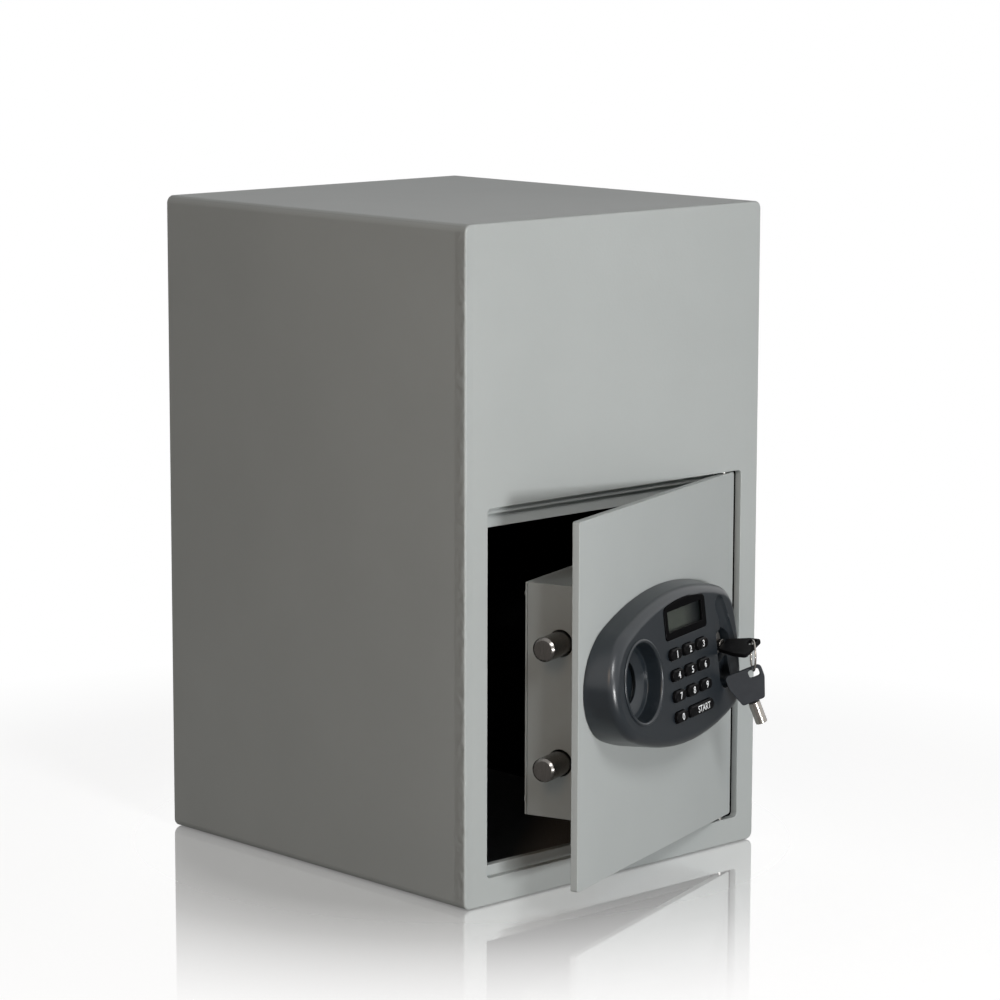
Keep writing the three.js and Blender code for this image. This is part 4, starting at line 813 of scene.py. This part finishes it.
def screw_tree():
    """Screw heads on points: a disc with a cross cut in it, facing where each point says"""
    tree = bpy.data.node_groups.get("screw_heads")
    if tree:
        return tree
    tree = bpy.data.node_groups.new("screw_heads", "GeometryNodeTree")
    for name, kind, value in (("Geometry", "NodeSocketGeometry", None),
                              ("Head radius", "NodeSocketFloat", 0.003),
                              ("Head height", "NodeSocketFloat", 0.0011),
                              ("Slot width", "NodeSocketFloat", 0.0008),
                              ("Seed", "NodeSocketInt", 7),
                              ("Material", "NodeSocketMaterial", None)):
        socket = tree.interface.new_socket(name=name, in_out="INPUT", socket_type=kind)
        if value is not None:
            socket.default_value = value
    tree.interface.new_socket(name="Geometry", in_out="OUTPUT", socket_type="NodeSocketGeometry")
    given, result = tree.nodes.new("NodeGroupInput"), tree.nodes.new("NodeGroupOutput")
    radius, height = given.outputs["Head radius"], given.outputs["Head height"]
    head = add_node(tree, "GeometryNodeMeshCylinder", Vertices=28, Radius=radius, Depth=height)
    cut = add_node(tree, "GeometryNodeMeshBoolean", Mesh_1=head.outputs["Mesh"])
    cut.operation = "DIFFERENCE"
    for long_side, short_side in (("X", "Y"), ("Y", "X")):
        size = add_node(tree, "ShaderNodeCombineXYZ", Z=height, **{
            long_side: combined(tree, "MULTIPLY", radius, 1.15),
            short_side: given.outputs["Slot width"]})
        up = add_node(tree, "ShaderNodeCombineXYZ", Z=combined(tree, "MULTIPLY", height, 0.55))
        bar = add_node(tree, "GeometryNodeMeshCube", Size=size.outputs[0])
        lift = add_node(tree, "GeometryNodeTransform", Geometry=bar.outputs["Mesh"],
                        Translation=up.outputs[0])
        tree.links.new(lift.outputs["Geometry"], cut.inputs["Mesh 2"])
    spin = tree.nodes.new("FunctionNodeRandomValue")
    spin.data_type = "FLOAT_VECTOR"
    spin.inputs[0].default_value = (0, 0, 0)
    spin.inputs[1].default_value = (0, 0, math.pi / 2)
    tree.links.new(given.outputs["Seed"], spin.inputs["Seed"])
    facing = add_node(tree, "GeometryNodeInputNamedAttribute", Name="facing")
    facing.data_type = "FLOAT_VECTOR"
    align = add_node(tree, "FunctionNodeAlignRotationToVector",
                     Vector=facing.outputs["Attribute"])
    align.axis = "Z"
    place = add_node(tree, "GeometryNodeInstanceOnPoints", Points=given.outputs["Geometry"],
                     Instance=cut.outputs["Mesh"], Rotation=align.outputs[0])
    turn = add_node(tree, "GeometryNodeRotateInstances", Instances=place.outputs[0],
                    Rotation=spin.outputs[0])
    real = add_node(tree, "GeometryNodeRealizeInstances", Geometry=turn.outputs[0])
    paint = add_node(tree, "GeometryNodeSetMaterial", Geometry=real.outputs[0],
                     Material=given.outputs["Material"])
    tree.links.new(paint.outputs[0], result.inputs[0])
    return tree


def from_tree(tree, mesh, name, body, slot, **values):
    """A plain mesh piece from a geometry nodes tree over a mesh"""
    material = finish_for(slot)
    obj = linked("bench", mesh)
    modifier = obj.modifiers.new("nodes", "NODES")
    modifier.node_group = tree
    sockets = {item.name: item.identifier for item in tree.interface.items_tree
               if item.item_type == "SOCKET" and item.in_out == "INPUT"}
    modifier[sockets["Material"]] = material
    for key, value in values.items():
        modifier[sockets[key.replace("_", " ")]] = value
    return piece(name, smoothed(evaluated(obj, name)), body=body, slot=slot, material=material)


def seats(points):
    """Loose points on the door, each with the direction that its screw faces"""
    bm = bmesh.new()
    for point in points:
        bm.verts.new(Vector(point))
    mesh = to_mesh(bm, "seats", PANEL)
    facing = mesh.attributes.new("facing", "FLOAT_VECTOR", "POINT")
    facing.data.foreach_set("vector", list(-OUT) * len(mesh.vertices))
    return mesh


def panel_box(node):
    """Lowest and highest corners of a node in the door's own millimetres"""
    points = [PANEL.inverted() @ vert.co for vert in frame["nodes"][node].data.vertices]
    return [[pick(point[i] for point in points) for i in range(3)] for pick in (min, max)]


def screws(name, points, radius, height):
    from_tree(screw_tree(), seats(points), name, "door", "zinc", Head_radius=radius * MM,
              Head_height=height * MM, Slot_width=radius * 0.28 * MM)


def build_screws():
    """Screw heads on the lock case's cover and on the gearbox"""
    low, high = panel_box("lock_case_cover")
    across = (low[0] + COVER_INSET, (low[0] + high[0]) / 2, high[0] - COVER_INSET)
    screws("cover_screws", [(x, y, low[2] + SCREW_SINK) for x in across
                            for y in (low[1] + COVER_INSET, high[1] - COVER_INSET)], 3.2, 0.7)
    low, high = panel_box("gearbox")
    screws("gearbox_screws", [(x, y, low[2] + SCREW_SINK)
                              for x in (low[0] + GEARBOX_INSET, high[0] - GEARBOX_INSET)
                              for y in (low[1] + GEARBOX_INSET, high[1] - GEARBOX_INSET)],
           1.8, 0.8)


# Stage

def floor_finish():
    """White floor with a soft shadow and a reflection that fades"""
    material = bpy.data.materials.new("floor_white")
    material.use_nodes = True
    tree = material.node_tree
    tree.nodes.clear()
    output = tree.nodes.new("ShaderNodeOutputMaterial")
    path = tree.nodes.new("ShaderNodeLightPath")
    lit = add_node(tree, "ShaderNodeBsdfDiffuse", Color=(0.55, 0.55, 0.55, 1))
    glow = add_node(tree, "ShaderNodeEmission", Color=(1, 1, 1, 1), Strength=0.7)
    plain = add_node(tree, "ShaderNodeEmission", Color=(1, 1, 1, 1), Strength=1.0)
    matt = add_node(tree, "ShaderNodeBsdfDiffuse", Color=(0.6, 0.6, 0.6, 1))
    mirror = add_node(tree, "ShaderNodeBsdfGlossy", Color=(1, 1, 1, 1), Roughness=0.03)
    base = tree.nodes.new("ShaderNodeAddShader")
    tree.links.new(lit.outputs[0], base.inputs[0])
    tree.links.new(glow.outputs[0], base.inputs[1])
    reach = add_node(tree, "ShaderNodeVectorMath", Vector=object_place(tree))
    reach.operation = "LENGTH"
    gloss = mixed(tree, spread(tree, reach.outputs["Value"], 0.72, 0.0, 0.22, 0.5), base, mirror)
    far = mixed(tree, spread(tree, reach.outputs["Value"], 0, 1, 0.3, 0.7), gloss, plain)
    seen = mixed(tree, path.outputs["Is Camera Ray"], matt, far)
    tree.links.new(seen.outputs[0], output.inputs["Surface"])
    return material


def mixed(tree, factor, first, second):
    node = tree.nodes.new("ShaderNodeMixShader")
    for i, source in enumerate((factor, first.outputs[0], second.outputs[0])):
        tree.links.new(source, node.inputs[i])
    return node


def build_stage(stage):
    scene = bpy.context.scene
    scene.view_settings.view_transform = "Standard"
    world = scene.world or bpy.data.worlds.new("studio")
    scene.world = world
    world.use_nodes = True
    tree = world.node_tree
    tree.nodes.clear()
    output = tree.nodes.new("ShaderNodeOutputWorld")
    path = tree.nodes.new("ShaderNodeLightPath")
    white = add_node(tree, "ShaderNodeBackground", Color=(1, 1, 1, 1))
    soft = add_node(tree, "ShaderNodeBackground", Color=(1, 1, 1, 1), Strength=stage.ambient)
    seen = path.outputs["Is Camera Ray"]
    for ray in ("Is Glossy Ray", "Is Transmission Ray"):
        seen = combined(tree, "MAXIMUM", seen, path.outputs[ray])
    tree.links.new(mixed(tree, seen, soft, white).outputs[0], output.inputs["Surface"])

    bm = bmesh.new()
    bmesh.ops.create_grid(bm, x_segments=1, y_segments=1, size=12)
    mesh = to_mesh(bm, "studio_floor", Matrix.Translation((0, 0, -0.0004)))
    mesh.materials.append(floor_finish())
    linked("studio_floor", mesh)

    # Name, place, target, size, power, colour and whether glossy surfaces mirror it
    lamps = (
        ("key_softbox", (-0.5, -1.62, 1.3), (0, -0.1, 0.3), (0.35, 0.5), stage.key_power,
         (1, 1, 1), True),
        ("low_softbox", (-0.25, -1.8, 0.12), (0, -0.1, 0.25), (0.25, 0.2), stage.low_power,
         (1, 1, 1), True),
        ("side_softbox", (-1.6, -1.1, 1.1), (-0.15, -0.1, 0.4), (0.4, 0.7), stage.side_power,
         (1, 0.72, 0.5), True),
        ("top_softbox", (0.2, 0.3, 2.2), (0, 0, 0.4), (1.4, 1.4), stage.top_power,
         (0.93, 0.97, 1), True),
        ("back_softbox", (0.9, 1.8, 0.34), (0, 0.1, 0.3), (1.4, 0.26), stage.back_power,
         (1, 1, 1), False))
    for name, place, target, size, power, colour, mirrored in lamps:
        light = bpy.data.lights.new(name, "AREA")
        light.shape = "RECTANGLE"
        light.size, light.size_y = size
        light.energy = power
        light.color = colour
        obj = linked(name, light)
        obj.location = place
        obj.rotation_euler = (Vector(target) - Vector(place)).to_track_quat("-Z", "Y").to_euler()
        obj.visible_camera = False
        obj.visible_glossy = mirrored

    camera = bpy.data.cameras.new("view")
    camera.sensor_width = 36
    camera.lens = stage.lens
    camera.clip_start = 0.05
    obj = linked("view", camera)
    obj.location = CAMERA_PLACE
    turn = (Matrix.Rotation(CAMERA_TURN, 4, "Z")
            @ Matrix.Rotation(math.pi / 2 - CAMERA_DROP, 4, "X"))
    turn = turn @ Matrix.Rotation(stage.roll, 4, "Z")
    obj.rotation_euler = turn.to_euler()
    scene.camera = obj


# Settings, operators and panel

class SafeFinish(bpy.types.PropertyGroup):
    """Colours and gloss of the safe"""
    paint_colour: bpy.props.FloatVectorProperty(
        name="Paint", description="Colour of the powder coat", subtype="COLOR", size=3,
        default=(0.42, 0.445, 0.44), min=0, max=1)
    paint_roughness: bpy.props.FloatProperty(
        name="Paint roughness", description="Roughness of the powder coat", default=0.42,
        min=0.1, max=1, subtype="FACTOR")
    peel_scale: bpy.props.FloatProperty(
        name="Orange peel", description="Cells of orange peel in a metre", default=420,
        min=50, max=3000)
    moulding_colour: bpy.props.FloatVectorProperty(
        name="Moulding", description="Colour of the keypad housing", subtype="COLOR", size=3,
        default=(0.011, 0.0155, 0.02), min=0, max=1)
    moulding_roughness: bpy.props.FloatProperty(
        name="Moulding roughness", description="Roughness of the keypad housing", default=0.29,
        min=0.05, max=1, subtype="FACTOR")
    bolt_colour: bpy.props.FloatVectorProperty(
        name="Bolt steel", description="Colour of the bolts", subtype="COLOR", size=3,
        default=(0.17, 0.16, 0.15), min=0, max=1)
    legend_colour: bpy.props.FloatVectorProperty(
        name="Legends", description="Colour of the printed legends", subtype="COLOR", size=3,
        default=(0.85, 0.87, 0.88), min=0, max=1)


class SafeSizes(bpy.types.PropertyGroup):
    """Small edge sizes in millimetres"""
    front_edge: bpy.props.FloatProperty(
        name="Front edge", description="Rounding of the front plate's outline, in mm",
        default=1.6, min=0.2, max=4)
    door_edge: bpy.props.FloatProperty(
        name="Door edge", description="Rounding of the door plate's edges, in mm", default=0.5,
        min=0.1, max=2)
    case_edge: bpy.props.FloatProperty(
        name="Case edge", description="Rounding of the lock case's folds, in mm", default=0.7,
        min=0.1, max=1.4)


class SafeStage(bpy.types.PropertyGroup):
    """Lamps and lens of the studio"""
    key_power: bpy.props.FloatProperty(
        name="Key power", description="Power of the front softbox", default=12.2, min=0,
        unit="POWER")
    low_power: bpy.props.FloatProperty(
        name="Low power", description="Power of the small softbox near the floor", default=13.5,
        min=0, unit="POWER")
    side_power: bpy.props.FloatProperty(
        name="Side power", description="Power of the softbox on the left", default=3.6, min=0,
        unit="POWER")
    top_power: bpy.props.FloatProperty(
        name="Top power", description="Power of the softbox overhead", default=0.3, min=0,
        unit="POWER")
    back_power: bpy.props.FloatProperty(
        name="Back power", description="Power of the softbox behind the safe", default=15,
        min=0, unit="POWER")
    ambient: bpy.props.FloatProperty(
        name="Ambient", description="Strength of the light from all round", default=0.14, min=0,
        max=2)
    lens: bpy.props.FloatProperty(
        name="Lens", description="Focal length on a 36 mm sensor", default=131.067, min=20,
        max=300, unit="CAMERA")
    roll: bpy.props.FloatProperty(
        name="Roll", description="Tilt of the camera about its line of sight", default=0.0027,
        subtype="ANGLE")


class SAFE_OT_cabinet(bpy.types.Operator):
    """Round and paint the cabinet and its stops"""
    bl_idname = "safe.cabinet"
    bl_label = "Cabinet"

    def execute(self, context):
        build_cabinet(context.scene.safe_sizes)
        return {"FINISHED"}


class SAFE_OT_deposit_path(bpy.types.Operator):
    """Finish the slot collar, the chute, the guard and the flap"""
    bl_idname = "safe.deposit_path"
    bl_label = "Deposit path"

    def execute(self, context):
        build_deposit_path()
        return {"FINISHED"}


class SAFE_OT_mat(bpy.types.Operator):
    """Lay the felt mat on the safe's floor"""
    bl_idname = "safe.mat"
    bl_label = "Floor mat"

    def execute(self, context):
        build_mat()
        return {"FINISHED"}


class SAFE_OT_door(bpy.types.Operator):
    """Round and paint the door plate and its pins"""
    bl_idname = "safe.door"
    bl_label = "Door"

    def execute(self, context):
        build_door(context.scene.safe_sizes)
        return {"FINISHED"}


class SAFE_OT_lock_case(bpy.types.Operator):
    """Finish the lock case and what it holds"""
    bl_idname = "safe.lock_case"
    bl_label = "Lock case"

    def execute(self, context):
        build_lock_case(context.scene.safe_sizes)
        build_screws()
        return {"FINISHED"}


class SAFE_OT_bolts(bpy.types.Operator):
    """Turn the two bolts"""
    bl_idname = "safe.bolts"
    bl_label = "Bolts"

    def execute(self, context):
        build_bolts()
        return {"FINISHED"}


class SAFE_OT_housing(bpy.types.Operator):
    """Mould the keypad housing and the finger cup"""
    bl_idname = "safe.housing"
    bl_label = "Keypad housing"

    def execute(self, context):
        build_housing()
        build_cup()
        return {"FINISHED"}


class SAFE_OT_display(bpy.types.Operator):
    """Fit the display's frame, window and panel"""
    bl_idname = "safe.display"
    bl_label = "Display"

    def execute(self, context):
        build_display()
        return {"FINISHED"}


class SAFE_OT_keys(bpy.types.Operator):
    """Mould the keys and print their legends"""
    bl_idname = "safe.keys"
    bl_label = "Keys"

    def execute(self, context):
        build_keys()
        build_legends(context.scene.safe_finish)
        return {"FINISHED"}


class SAFE_OT_lock(bpy.types.Operator):
    """Finish the override lock, its keys and their ring"""
    bl_idname = "safe.lock"
    bl_label = "Override lock and keys"

    def execute(self, context):
        build_lock()
        build_key_set()
        return {"FINISHED"}


class SAFE_OT_stage(bpy.types.Operator):
    """Set up the floor, the lamps and the camera"""
    bl_idname = "safe.stage"
    bl_label = "Stage"

    def execute(self, context):
        build_stage(context.scene.safe_stage)
        return {"FINISHED"}


STEPS = (SAFE_OT_cabinet, SAFE_OT_deposit_path, SAFE_OT_mat, SAFE_OT_door, SAFE_OT_lock_case,
         SAFE_OT_bolts, SAFE_OT_housing, SAFE_OT_display, SAFE_OT_keys, SAFE_OT_lock,
         SAFE_OT_stage)


class SAFE_PT_panel(bpy.types.Panel):
    """The safe's pieces and settings"""
    bl_idname = "SAFE_PT_panel"
    bl_label = "Deposit Safe"
    bl_space_type = "VIEW_3D"
    bl_region_type = "UI"
    bl_category = "Safe"

    def draw(self, context):
        scene = context.scene
        for group in (scene.safe_finish, scene.safe_sizes, scene.safe_stage):
            box = self.layout.box()
            for name in group.__annotations__:
                box.prop(group, name)
        for step in STEPS:
            self.layout.operator(step.bl_idname)


CLASSES = (SafeFinish, SafeSizes, SafeStage, *STEPS, SAFE_PT_panel)


def register():
    for cls in CLASSES:
        bpy.utils.register_class(cls)
    bpy.types.Scene.safe_finish = bpy.props.PointerProperty(type=SafeFinish)
    bpy.types.Scene.safe_sizes = bpy.props.PointerProperty(type=SafeSizes)
    bpy.types.Scene.safe_stage = bpy.props.PointerProperty(type=SafeStage)


def unregister():
    del bpy.types.Scene.safe_stage
    del bpy.types.Scene.safe_sizes
    del bpy.types.Scene.safe_finish
    for cls in reversed(CLASSES):
        bpy.utils.unregister_class(cls)


def main():
    register()
    for step in STEPS:
        group, name = step.bl_idname.split(".")
        getattr(getattr(bpy.ops, group), name)()


if __name__ == "__main__":
    main()
